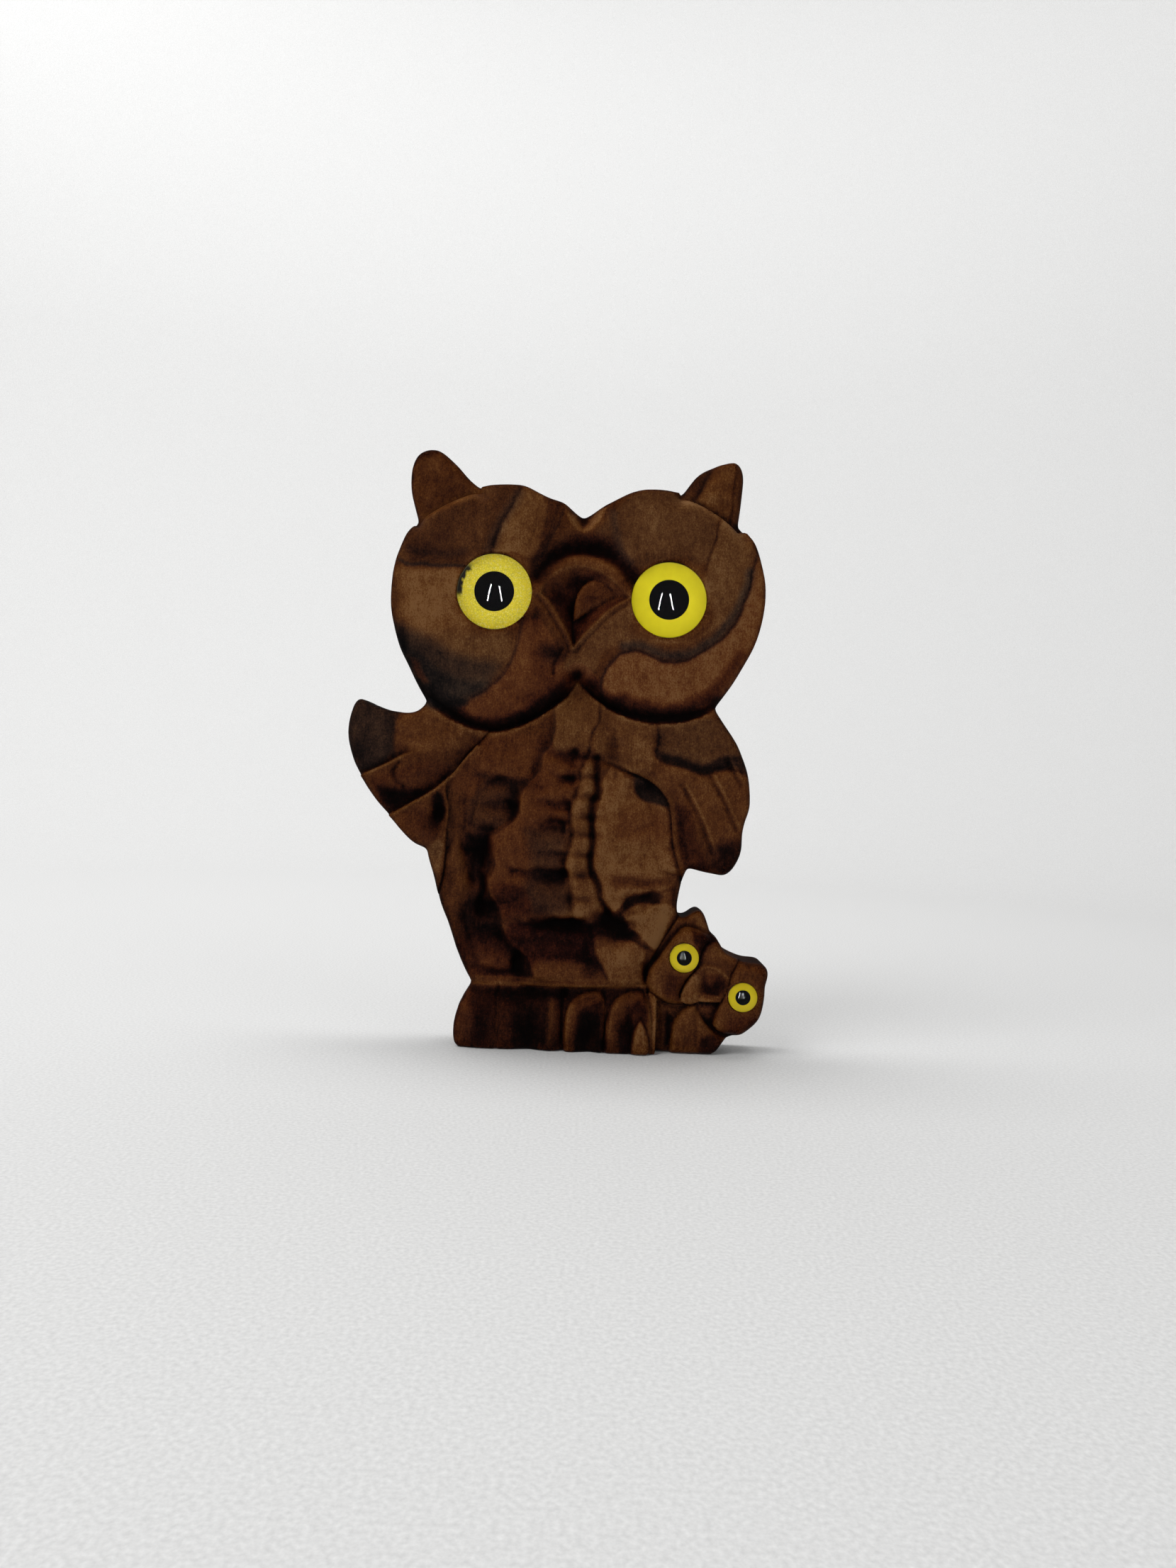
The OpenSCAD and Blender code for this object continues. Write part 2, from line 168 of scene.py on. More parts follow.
def back_loop():
    """Outer edge of the CAD carving's flat back, in order."""
    co = np.array([v.co for v in carving.data.vertices]) / MM
    key = [tuple(np.round(c, 3)) for c in co]
    used = {}
    for poly in carving.data.polygons:
        if all(co[v][1] > -BACK_H - 0.01 for v in poly.vertices):
            ring = list(poly.vertices)
            for a, b in zip(ring, ring[1:] + ring[:1]):
                pair = (key[a], key[b])
                used[pair] = used.get(pair, 0) + 1
    rim = {a: b for a, b in used if (b, a) not in used}
    start = next(iter(rim))
    loop, at = [start], rim[start]
    while at != start:
        loop.append(at)
        at = rim[at]
    pts = np.array([(p[0], p[2]) for p in loop])
    area = np.sum(pts[:, 0] * np.roll(pts[:, 1], -1) - np.roll(pts[:, 0], -1) * pts[:, 1])
    return pts if area > 0 else pts[::-1]


def outline_points():
    """The outline at even steps, with the CAD's small facets smoothed away."""
    loop = back_loop()
    line = even(np.vstack([loop, loop[:1]]), RIM_STEP)[:-1]
    flat = np.abs(line[:, 1]) < 0.02
    soft = line.copy()
    for _ in range(4):
        soft = (np.roll(soft, 1, 0) + 2 * soft + np.roll(soft, -1, 0)) / 4
    soft[flat] = line[flat]
    return soft


OUTLINE = outline_points()


def outward(loop):
    """Unit vectors that point out of a closed line."""
    along = np.roll(loop, -1, 0) - np.roll(loop, 1, 0)
    normal = np.stack([along[:, 1], -along[:, 0]], 1)
    return normal / np.linalg.norm(normal, axis=1)[:, None]


# ---------------------------------------------------------------- creases

HEAD_LOW_A = curve([(-41, 83), (-38, 80.9), (-34.2, 78.8), (-29.8, 77.1), (-24.8, 76.5), (-19.8, 77.5),
                    (-15, 79.8), (-10.5, 82.8), (-7, 86), (-4.9, 89.6)])
HEAD_LOW_B = curve([(-4.9, 89.6), (-3, 87.8), (0, 85.1), (4, 82.6), (8, 81), (12.5, 80.1), (17, 80),
                    (22, 80.7), (26, 82.2), (28.7, 84)])
EAR_A = curve([(-44.8, 126), (-42.5, 128.4), (-38, 131.2), (-33.5, 133.3), (-29.8, 134.5)])
EAR_B = curve([(18.5, 135), (22, 133.8), (26, 131.8), (29.6, 129.5), (32.6, 127)])
HEAD = np.vstack([HEAD_LOW_A, HEAD_LOW_B, [(45, 86), (52, 108), (40, 128)], EAR_B[::-1],
                  [(18.5, 150), (-29.8, 150)], EAR_A[::-1], [(-56, 126), (-62, 106), (-55, 86)]])

SHOULDER_A = curve([(-25.5, 77.5), (-27.5, 74.8), (-30.5, 71.6), (-33, 68), (-35.3, 64.5), (-35.6, 61),
                    (-34.8, 57.5), (-35.1, 52.5), (-35.5, 47), (-35.9, 42), (-36.8, 37.5), (-38, 34)])
SHOULDER_B = curve([(2.5, 70.2), (4.5, 69.6), (8, 68.2), (12, 66.8), (15, 65), (17, 63), (18.4, 60.8),
                    (19.2, 57.5), (19.6, 53.5), (20.2, 49.5), (21.4, 45.5), (22.6, 42)])
LEDGE = curve([(-30, 15.5), (-20, 15.4), (-8, 15.4), (4, 15.6), (14.8, 16.4)])
CHICK_EDGE = curve([(23, 36), (22, 33), (20.4, 30.4), (18.4, 27), (16.2, 23.2), (14.9, 20), (14.8, 16.4)])
BELLY = np.vstack([SHOULDER_A[::-1], [(-25.5, 92), (4, 92)],
                   curve([(4, 92), (3.2, 78), (2.5, 70.2)]), SHOULDER_B[1:],
                   [(27, 41), (26, 36)], CHICK_EDGE, LEDGE[::-1], [(-36, 15), (-44, 34)]])

BROW = curve([(-14.3, 109.9), (-13.4, 112.5), (-11.2, 114.8), (-8.4, 116.3), (-5, 116.9), (-1.6, 116.2),
              (1.6, 114.5), (4.4, 112.2), (7.2, 109.6)], FINE)
BROW_CREST = curve([(-15.2, 110.6), (-14.6, 113.4), (-12.2, 116.4), (-9, 118.2), (-5, 119), (-1, 118.2),
                    (2.6, 116.3), (5.6, 113.7), (7.8, 110.8)], FINE)
TROUGH = curve([(-15.6, 114.4), (-13.4, 117.4), (-10.6, 120), (-6, 121.8), (0, 121.4), (3.5, 119.3),
                (6.4, 116.4), (8.6, 113.8)], FINE)
BEAK_A = curve([(-14.3, 109.9), (-12.2, 107.8), (-9.8, 104.2), (-7.8, 101), (-6.6, 98.6), (-6.2, 97.2)], FINE)
BEAK_B = curve([(7.2, 109.6), (4.4, 108), (1.6, 106), (-1, 103.3), (-3.8, 100.3), (-6.2, 97.2)], FINE)
DROP = curve([(-6.2, 103.8), (-6.2, 107), (-5.4, 110.6), (-3.7, 113), (-1.2, 114.2), (1.5, 113.6),
              (3.9, 111.9), (6.2, 109.8), (2.6, 108.7), (-0.6, 107.3), (-3.4, 105.6),
              (-6.2, 103.8)], FINE)[:-1]
CAVITY = np.vstack([BROW[::-1], BEAK_A[1:], BEAK_B[::-1][1:-1]])

CHICK_LOW_A = curve([(15.6, 14.6), (17.5, 13.4), (19.5, 12.4), (21.7, 12), (23.9, 12.2)], FINE)
CHICK_A = np.vstack([CHICK_LOW_A, curve([(23.9, 12.2), (23, 14), (23.4, 16), (24.8, 18.6), (26.6, 20.6),
                     (27.3, 22.6), (28, 25), (29.2, 27), (31.8, 27.6)], FINE),
                     curve([(31.8, 27.6), (29.6, 29.1), (26.6, 30.3), (24.4, 30.9), (23, 30.6),
                            (21.2, 28.6), (19.6, 26.3), (17.6, 23.4), (15.4, 20.4), (14.6, 17)], FINE)])
CHICK_B = np.vstack([curve([(36.8, 23.4), (35.8, 21.3), (34.9, 19.2), (34.3, 16.2), (33, 13.6),
                            (31.6, 10.8), (31, 8.2), (31.8, 6.4), (33.6, 5.4), (35.6, 5)], FINE),
                     [(42, 2), (48, 8), (50, 24), (40, 27)]])
CHICK_BROW = curve([(27, 20.6), (28.6, 21.3), (30.6, 21.3), (32.8, 20.2), (34.8, 18.6)], FINE)
CHICK_LEAF = np.vstack([curve([(26.9, 20.6), (25, 18.6), (23.5, 15.8), (23, 13.4), (24, 12.3), (26, 12.3),
                               (27.6, 13)], FINE),
                        curve([(27.6, 13), (27.9, 14.4), (27.2, 17), (26.9, 20.6)], FINE)])
CHICK_BREAST = np.vstack([curve([(20.6, -1), (20.6, 3), (20.9, 6), (22, 8.8), (23.8, 11), (25.4, 12.1),
                                 (27.3, 12.8)], FINE),
                          curve([(27.3, 12.8), (27.6, 11), (28.6, 9.2), (30, 7.4), (32, 5.4),
                                 (34.4, 4.2)], FINE),
                          [(36, -1)]])
TOE_1 = curve([(-4.9, -1), (-4.9, 5), (-4.6, 9), (-3.4, 12), (-1, 13.7), (2, 14.6), (4, 14), (4.7, 11),
               (4.7, 5), (4.5, -1)], FINE)
TOE_2 = curve([(5, -1), (5, 4), (5.6, 9), (6.8, 12.4), (9.5, 14), (13, 15), (14.8, 13), (16, 8),
               (16.2, -1)], FINE)
CLAW = np.vstack([curve([(11.4, -0.5), (11.3, 2.5), (12, 6), (13.5, 8.4)], 0.6),
                  curve([(13.5, 8.4), (14.8, 6), (15.6, 2.5), (15.4, -0.5)], 0.6)])

RIDGE_1 = curve([(-57, 64.3), (-55, 65.3), (-50, 67.7), (-45.5, 70.2), (-40, 71.5)])
RIDGE_2 = curve([(-51, 54.6), (-48.5, 55.6), (-44, 58.3), (-39, 61.4), (-34.5, 65.4), (-31.3, 69.6),
                 (-28.5, 72.8)])
RAY_1 = curve([(22.4, 65.4), (24.6, 61.8), (27.2, 56.8), (30.3, 49.5)])
RAY_2 = curve([(29.2, 67.8), (32.2, 62.8), (35.9, 55.2)])
RAY_3 = curve([(33, 72.6), (34.2, 70), (36.6, 66.4)])

EAR_FOLD = curve([(20, 138), (23.5, 138.5), (26.4, 142.6)])
WING_NICK = curve([(-47.4, 68.2), (-48.6, 66), (-47.8, 63.8), (-46, 62.4)])
WING_FOLD = curve([(15.4, 76), (16, 72.5), (22, 70.5), (27, 69), (33, 70.5)])
BEAK_NICK = curve([(-6.4, 106), (-6.4, 102), (-6.1, 98)])
CHIN_NICK = curve([(-10.6, 91), (-10.4, 93.5), (-8.6, 97)])
CHICK_LINE = curve([(17.2, 16), (18, 20), (20.4, 24.4), (22.6, 28)])

RIB_LEFT = curve([(-1.4, 72.5), (-3.2, 67.6), (-3.4, 64), (-5, 60), (-5.4, 56), (-4.9, 51.5), (-6.5, 45),
                  (-5, 41), (-4.5, 36), (-3.8, 32)])
RIB_RIGHT = curve([(0.6, 71), (0.6, 66), (0.9, 62.4), (-0.4, 59.6), (-0.2, 55), (0.4, 51), (-0.2, 47),
                   (0.1, 44), (1.8, 40.6), (2.8, 36.8), (4.6, 34)])
COLUMN = curve([(-29.5, 60), (-30.8, 56), (-30.6, 50), (-30, 45.5), (-28.4, 42), (-28.8, 37.5),
                (-30.4, 33), (-30.2, 29), (-28.8, 25.5), (-27, 21)])
# wavy left edge of the belly's middle panel, above and below its widest point
PANEL_HIGH = [(-9.9, 78), (-10.4, 74.4), (-12.6, 71.5), (-13.1, 68), (-15.5, 64.6), (-18, 61.4),
              (-17.8, 57), (-21, 53.6), (-25, 51)]
PANEL_LOW = [(-23.6, 46), (-23.6, 43), (-25, 40.4), (-24, 37), (-21.5, 33), (-21, 29), (-18.5, 25),
             (-14.6, 21.6), (-12.8, 17.4)]
PANEL = np.vstack([curve([(-10, 84.4), *PANEL_HIGH, *PANEL_LOW]), [(-3.4, 17), (-1, 30)],
                   RIB_LEFT[::-1], [(-1, 80), (-2, 86)]])
RIB_WAVES = (71, 66.2, 61.4, 56.4, 52.2, 47.4, 42.4, 36.8)
NOTCH = curve([(-10, 132), (-8, 127.6), (-5.4, 125.2), (-2.4, 126), (-0.2, 128.8), (1, 133)], FINE)

CREASES = (HEAD_LOW_A, HEAD_LOW_B, EAR_A, EAR_B, SHOULDER_A, SHOULDER_B, LEDGE, CHICK_EDGE, BROW, BEAK_A,
           BEAK_B, DROP, CHICK_LOW_A, CHICK_A[6:], CHICK_B[:-4], CHICK_LEAF, CHICK_BREAST[:-1], TOE_1,
           TOE_2, CLAW, RIDGE_1, RIDGE_2, RAY_1, RAY_2, RIB_RIGHT, NOTCH)

# belly: hollows left by the gouge as (x, z, reach left, reach right, half height, depth)
SCOOPS = (
    (-22, 64.2, 8, 3, 1.4, 0.9), (-18.6, 61.4, 1.8, 1.2, 2.4, 0.9), (-20.5, 58.9, 6, 1.6, 1.5, 1.0),
    (-19.4, 57.6, 1.6, 1.2, 1.8, 0.5), (-25.8, 52.2, 2.6, 3.6, 1.7, 0.9),
    (-27.4, 48.4, 2.4, 2.6, 3.1, 2.0), (-27.4, 43, 2, 2.4, 3.2, 1.3), (-26.1, 38, 1.2, 0.8, 3.8, 1.0),
    (-25.4, 34.6, 3.4, 3.2, 1.7, 1.5), (-25, 27.4, 4.4, 4, 2, 1.0), (-30, 52, 1.0, 1.4, 5, 0.5),
    (-21.6, 35.6, 2.4, 4.6, 1.4, 0.6), (-20, 18.7, 8, 2.4, 1.3, 0.9), (-16.8, 21.8, 1.6, 1.8, 4, 1.7),
    (-20.8, 27.6, 1.6, 2.2, 3.4, 0.8), (-5.2, 71.7, 6.4, 2, 1.4, 1.1), (-5, 66, 4.6, 0.9, 1.5, 1.2),
    (-14, 68, 1.2, 2, 3, 0.4), (-6.4, 59.6, 6, 1.0, 1.5, 1.1), (-6.6, 54.6, 7, 0.9, 1.5, 1.3),
    (-7.4, 47.6, 5, 1.2, 1.3, 0.8), (-6.8, 43, 7.4, 1.2, 1.9, 1.9), (-18, 43.4, 3, 4, 1.5, 0.5),
    (-3.6, 30.4, 12.5, 4, 2.0, 2.2), (-9, 25.2, 9.4, 9, 2.0, 0.9), (4.2, 32.8, 3.4, 3, 1.9, 1.8),
    (8.2, 30.4, 4, 3.6, 2.2, 1.6), (12, 54, 6, 7, 2.3, 0.3), (11.4, 47, 7, 7, 2.5, 0.36),
    (12.6, 41.4, 7, 6, 1.6, 0.5), (9.6, 36.2, 2.2, 2.2, 1.3, 0.8), (13.8, 37.4, 3.6, 3.2, 1.2, 1.1),
    (14.5, 21, 1.3, 0.9, 3.6, 0.8), (4.4, 74.6, 1.6, 1.2, 4, 0.5), (13.6, 63.8, 4.6, 3.6, 2.1, 0.9),
)

# belly: rounded bumps and dents as (x, z, half width, half height, rise); the last five thicken the light rib
BUMPS = (
    (-25, 70, 8, 3.4, 0.35), (-24, 56.4, 4, 1.6, 0.5), (-10, 50.6, 4, 2, 0.4), (-9.6, 37, 4.4, 2.6, 0.5),
    (-9, 28.4, 9, 1.8, 0.4), (-32.6, 47, 1.4, 10, 0.4), (-33, 51, 2, 4, 0.4), (-32.4, 42, 2.4, 2, -0.5),
    (-31.6, 31, 3, 2, -0.5), (-1.4, 69, 1.6, 2.6, 0.5), (-2.6, 61, 1.6, 2.6, 0.5), (-2.8, 54, 1.6, 2.6, 0.5),
    (-4.6, 45.4, 1.6, 2.6, 0.5), (-2.4, 37, 1.6, 2.6, 0.5),
)


# ---------------------------------------------------------------- height of the front

def eye_spec(name):
    lo, hi = (np.array(c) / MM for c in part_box(name + "_glass"))
    pupil_lo, pupil_hi = (np.array(c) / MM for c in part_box(name + "_pupil"))
    return {"name": name, "x": (lo[0] + hi[0]) / 2, "z": (lo[2] + hi[2]) / 2, "r": (hi[0] - lo[0]) / 2,
            "back": -hi[1], "top": -lo[1], "pupil_r": (pupil_hi[0] - pupil_lo[0]) / 2,
            "coat_back": -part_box(name + "_iris")[1][1] / MM,
            "seat": -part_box(name + "_glue")[1][1] / MM}


EYE_SPECS = [eye_spec(name) for name in EYES]


def height(P, D):
    """Level of the carved front above the middle of the board, for points (x, z) at depth D inside."""
    x, z = P[:, 0], P[:, 1]
    grain = fog(P, 5.0, 3.1)

    # ears and flank: the lowest layer
    ears = BASE_H - 3.6 + 0.3 * grain
    ears -= 1.1 * bell(distance(P, EAR_FOLD), 2.2)
    ears -= 0.5 * step_up(x, 31.4, 33) * step_up(z, 125, 128)
    ears -= 0.8 * step_up(-x, 36, 40) * step_up(52 - z, 2, 10)
    H = ears - shoulder(D, 1.6)

    # wings: each feather starts at a sharp ridge, and the one above it dips down to it
    wing = BASE_H - 1.2 + 0.25 * grain - 0.003 * (x + 44) ** 2
    wing = wing - 0.9 * step_up(-x, 50, 61)
    tip = 1 - step_up(x, -49, -42)
    wing = wing - dip(P, RIDGE_1, 1.2, 2.8) * tip - dip(P, RIDGE_2, 1.9, 4.2)
    wing = wing - 1.0 * oval(P, -49, 61, 3.2, 1.8, 20) - 2.0 * oval(P, -37.4, 56.6, 1.7, 3.6)
    wing = wing - 0.5 * bell(distance(P, WING_NICK), 0.7)
    wing = wing + 0.35 * (bell(distance(P, RIDGE_1), 0.5) * tip + bell(distance(P, RIDGE_2), 0.5))
    wing = wing - 2.8 * step_up(52 - z, 0, 9)
    left = np.where((x < -22) & (z > 32) & (z < 90), wing - shoulder(D, 1.5), ABSENT)
    H = np.maximum(H, left)

    right = BASE_H - 1.5 + 0.25 * grain - 0.0045 * (x - 22) ** 2
    right = right + 0.8 * step_up(z, 60, 72) * step_up(30 - x, 0, 12)
    right = right - 0.5 * oval(P, 4.4, 74.6, 1.5, 4) - 0.9 * oval(P, 13, 65, 3.2, 1.8, -30)
    right = right - 0.8 * bell(distance(P, WING_FOLD), 1.5)
    for line in (RAY_1, RAY_2, RAY_3):
        right = right + 0.22 * bell(distance(P, line), 0.4)
        right = right - 0.35 * bell(distance(P, line - (0.9, 0.5)), 0.7)
    right = right - 1.0 * oval(P, 21.6, 54, 1.6, 7, 12) - 0.9 * oval(P, 33, 48.5, 3.5, 3)
    right = right - 3 * step_up(45 - z, 0, 4)
    H = np.maximum(H, np.where((x > 0) & (z > 36) & (z < 92), right - shoulder(D, 1.5), ABSENT))

    # belly
    inside = signed(P, BELLY)
    dome = 1 - ((x + 8) / 65) ** 2 - ((z - 42) / 115) ** 2
    belly = (BASE_H + BELLY_RADIUS + 0.4) * np.sqrt(np.maximum(dome, 0.01)) - BELLY_RADIUS + 0.2 * grain
    belly = belly - 1.25 * scooped(P)
    for *spot, rise in BUMPS:
        belly = belly + rise * oval(P, *spot)
    # the light rib between its two grooves, with a dent at each wave, and the groove beside the left rib
    belly = belly - 1.0 * bell(distance(P, RIB_RIGHT), 1.0) - 0.7 * bell(distance(P, RIB_LEFT), 0.9)
    for kz in RIB_WAVES:
        belly = belly - 0.5 * oval(P, -0.8 - 0.05 * (71 - kz), kz, 3.2, 1.0)
    belly = belly - 0.8 * bell(distance(P, COLUMN), 1.5)
    belly = belly + 1.0 * (step_up(signed(P, PANEL), -1.0, 0.9) - 0.5) * (1 - step_up(x, -12, -3))
    neck = step_up(z, 67.5, 71) * step_up(x, -2, 1)
    belly = belly - shoulder(inside, 1.4) * 0.9 * (1 - neck) - shoulder(D, 1.5)
    belly = belly - 1.2 * step_up(z, 79, 92) * (1 - neck)
    mix = np.where(neck > 0, step_up(inside, -2.5 * neck, 2.5 * neck + 0.01), inside > 0)
    H = H + mix * (np.maximum(belly, H - 0.9) - H)

    # perch log, toes and claw
    log = BASE_H - LOG_RADIUS + np.sqrt(LOG_RADIUS ** 2 - np.clip(z - 5, 0, 20) ** 2) + 0.25 * grain
    log = log - 0.5 * bell(x + 21.2, 0.5) - 1.1 * bell(x + 14, 2.6) + 0.4 * bell(x + 8.2, 0.9)
    log = log - 0.9 * bell(x + 5.4, 0.8) - 0.5 * bell(distance(P, LEDGE - (0, 2.0)), 1.6)
    log = log - 1.4 * step_up(-x, 24, 33) - shoulder(D, 1.0)
    for loop, rise, hollow in ((TOE_1, 0.6, (1, 4, 2.4, 6, 1.9)), (TOE_2, 0.6, (10.6, 7, 1.6, 4.6, 1.3))):
        d = signed(P, loop)
        toe = log + rise - 0.6 * shoulder(d, 1.2) - hollow[4] * oval(P, *hollow[:4])
        log = np.where(d > 0, toe, log - 0.4 * bell(d, 0.5))
    d = signed(P, CLAW)
    log = np.where(d > 0, log + 0.3 + 0.5 * step_up(d, 0, 1.2), log - 0.5 * bell(d, 0.6))
    under = (z < 16.4) & (x < 17.2)
    H = np.where(under & (signed(P, BELLY) <= 0), log, H)
    H = H + 0.5 * bell(distance(P, LEDGE), 0.5) * (x < 15.5)

    H = owlet(P, D, H, grain)
    H = face(P, D, H, grain)

    # eye sockets
    for eye in EYE_SPECS:
        r = np.hypot(x - eye["x"], z - eye["z"])
        seat_edge = eye["back"] + (eye["top"] - eye["back"]) * GLASS_RIM
        around = 1 - step_up(r, eye["r"] + 0.1, eye["r"] * 1.35)
        H = H * (1 - around) + np.minimum(H, np.maximum(H, seat_edge + 0.35)) * around
        H = np.where(r < eye["r"] + 0.06, eye["seat"], H)
    return H


def dip(P, line, depth, width):
    """Cut on the upper side of a line that runs left to right: sharp at the line, fading away from it."""
    d = distance(P, line)
    over = P[:, 1] > np.interp(P[:, 0], line[:, 0], line[:, 1])
    return np.where(over, depth * step_up(d, 0, 0.45) * bell(d, width), 0)


def scooped(P):
    """Depth of the gouge cuts: steep above, where the bump before ends, and gentle below."""
    total = np.zeros(len(P))
    x = P[:, 0] + 1.0 * fog(P, 4.5, 21.0, 2)
    z = P[:, 1] + 1.3 * fog(P, 6.0, 17.0, 2)
    for sx, sz, left, right, rz, depth in SCOOPS:
        u, v = x - sx, z - sz
        u = u / np.where(u > 0, right, left)
        v = v / np.where(v > 0, 0.95 * rz, 1.9 * rz)
        total += depth * np.exp(-u * u - v * v)
    return total


def owlet(P, D, H, grain):
    """The owlet's breast, forehead, discs and leaf, laid over the level H found so far."""
    x, z = P[:, 0], P[:, 1]
    top = BASE_H - 0.8
    ground = top - 2.6 + 0.2 * grain
    mine = (x > 14.8) & (z < 35) & (signed(P, BELLY) <= 0) & ((x > 17.2) | (z > 14.5))
    H = np.where(mine, np.minimum(H, ground - shoulder(D, 1.3)), H)
    # fine lines run down beside the toe
    for k in range(3):
        line = curve([(15.2 + 0.9 * k, 14.5), (16.4 + 0.9 * k, 9), (17.2 + 0.7 * k, 2)])
        H = H - 0.25 * bell(distance(P, line), 0.3)
    d = signed(P, CHICK_BREAST)
    breast = top - 1.2 - shoulder(d, 2.4) - 0.25 * bell(x - 27, 0.6) - shoulder(D, 1.2)
    H = np.where(d > 0, np.maximum(H, breast), H)
    # forehead between the discs, with the hollow the beak hangs in
    fore = top - 0.9 - 0.02 * ((x - 31.5) ** 2 + (z - 23) ** 2) - shoulder(D, 1.4)
    between = (x > 26) & (x < 38) & (z > 13) & (z < 29)
    H = np.where(between, np.maximum(H, fore), H)
    low = z < np.interp(x, CHICK_BROW[:, 0], CHICK_BROW[:, 1])
    pit = between & low & (x > 26.8) & (x < 34.8)
    H = np.where(pit, top - 1.1 - 0.6 * oval(P, 31.2, 16.4, 3.2, 1.5) - 0.4 * oval(P, 28.5, 18, 1, 2), H)
    H = H + 0.3 * bell(distance(P, CHICK_BROW), 0.4) * between
    H = H + 1.0 * oval(P, 30, 11, 3, 3) * mine
    for loop, cx, cz in ((CHICK_A, 23, 22), (CHICK_B, 37.6, 14)):
        d = signed(P, loop)
        disc = top - 0.006 * ((x - cx) ** 2 + (z - cz) ** 2) - shoulder(d, 1.8) * 1.2 - shoulder(D, 2.2)
        H = np.where(d > 0, np.maximum(H - 0.6, disc), H)
    H = np.where(mine | (x > 20), H - 0.12 * bell(distance(P, CHICK_LINE), 0.35), H)
    d = signed(P, CHICK_LEAF)
    leaf = top - 1.0 + 0.5 * step_up(d, 0, 1.8)
    H = np.where(d > 0, np.maximum(H, leaf), H)
    return H


def face(P, D, H, grain):
    """The two face discs with crown, brow and beak, laid over the level H found so far."""
    x, z = P[:, 0], P[:, 1]
    d = np.minimum(signed(P, HEAD), D + 0.35)
    lens_a = FACE_H - ((x + 24.5) ** 2 + (z - 107) ** 2) / 300
    lens_b = FACE_H - ((x - 14.5) ** 2 + (z - 108) ** 2) / 300
    blend = step_up(x, -9, -1)
    top = lens_a * (1 - blend) + lens_b * blend + 0.16 * grain
    top = top - 0.3 * bell(x + 4.8, 3) * step_up(z, 86, 96)
    edge = 1.5 + 2.6 * step_up(104 - z, 0, 20)
    disc = top - shoulder(d, edge) * (1 + 0.1 * step_up(100 - z, 0, 16))
    # V facet at the crown, the trough over the brow and the brow itself
    disc = disc - 2.6 * step_up(signed(P, np.vstack([NOTCH, [(0, 140), (-9, 140)]])), 0, 4)
    disc = disc - 1.5 * bell(distance(P, TROUGH), 2.3) - 0.7 * oval(P, -4.6, 123, 6, 4)
    disc = disc + 0.35 * bell(distance(P, BROW_CREST), 1.2)
    disc = disc + 0.35 * bell(distance(P, BEAK_A), 0.45) + 0.35 * bell(distance(P, BEAK_B), 0.5)
    disc = disc - 0.3 * bell(distance(P, BEAK_A - (0.9, 0.9)), 0.4)
    disc = disc - 0.25 * bell(distance(P, BEAK_B + (0.9, -0.9)), 0.35)
    # hollow of the beak with the drop-shaped facet in it
    c = signed(P, CAVITY)
    floor = top - 0.35 - 1.5 * step_up(c, 0, 4.2) - 0.5 * bell(x + 7, 1.6) * step_up(c, 0, 1.5)
    beak = floor - 0.4 * bell(distance(P, BEAK_NICK), 0.4)
    e = signed(P, DROP)
    facet = top - 0.65 - 0.06 * (x + 2) - 0.8 * shoulder(e, 1.3)
    beak = np.where(e > 0, np.maximum(beak, facet), beak)
    disc = np.where(c > 0, beak, disc)
    # knife nicks below the chin
    disc = disc - 1.5 * oval(P, -5, 91, 2.2, 1.6) - 0.5 * bell(distance(P, CHIN_NICK), 0.5)
    for cx, cz in ((-45.4, 126.2), (-29.4, 134.3), (18.8, 134.8), (34.6, 126.4)):
        disc = disc - 1.5 * bell(np.hypot(x - cx, z - cz), 2.2)
    return np.where(d > 0.02, np.maximum(disc, H - 0.9), H)


# ---------------------------------------------------------------- mesh of the carving

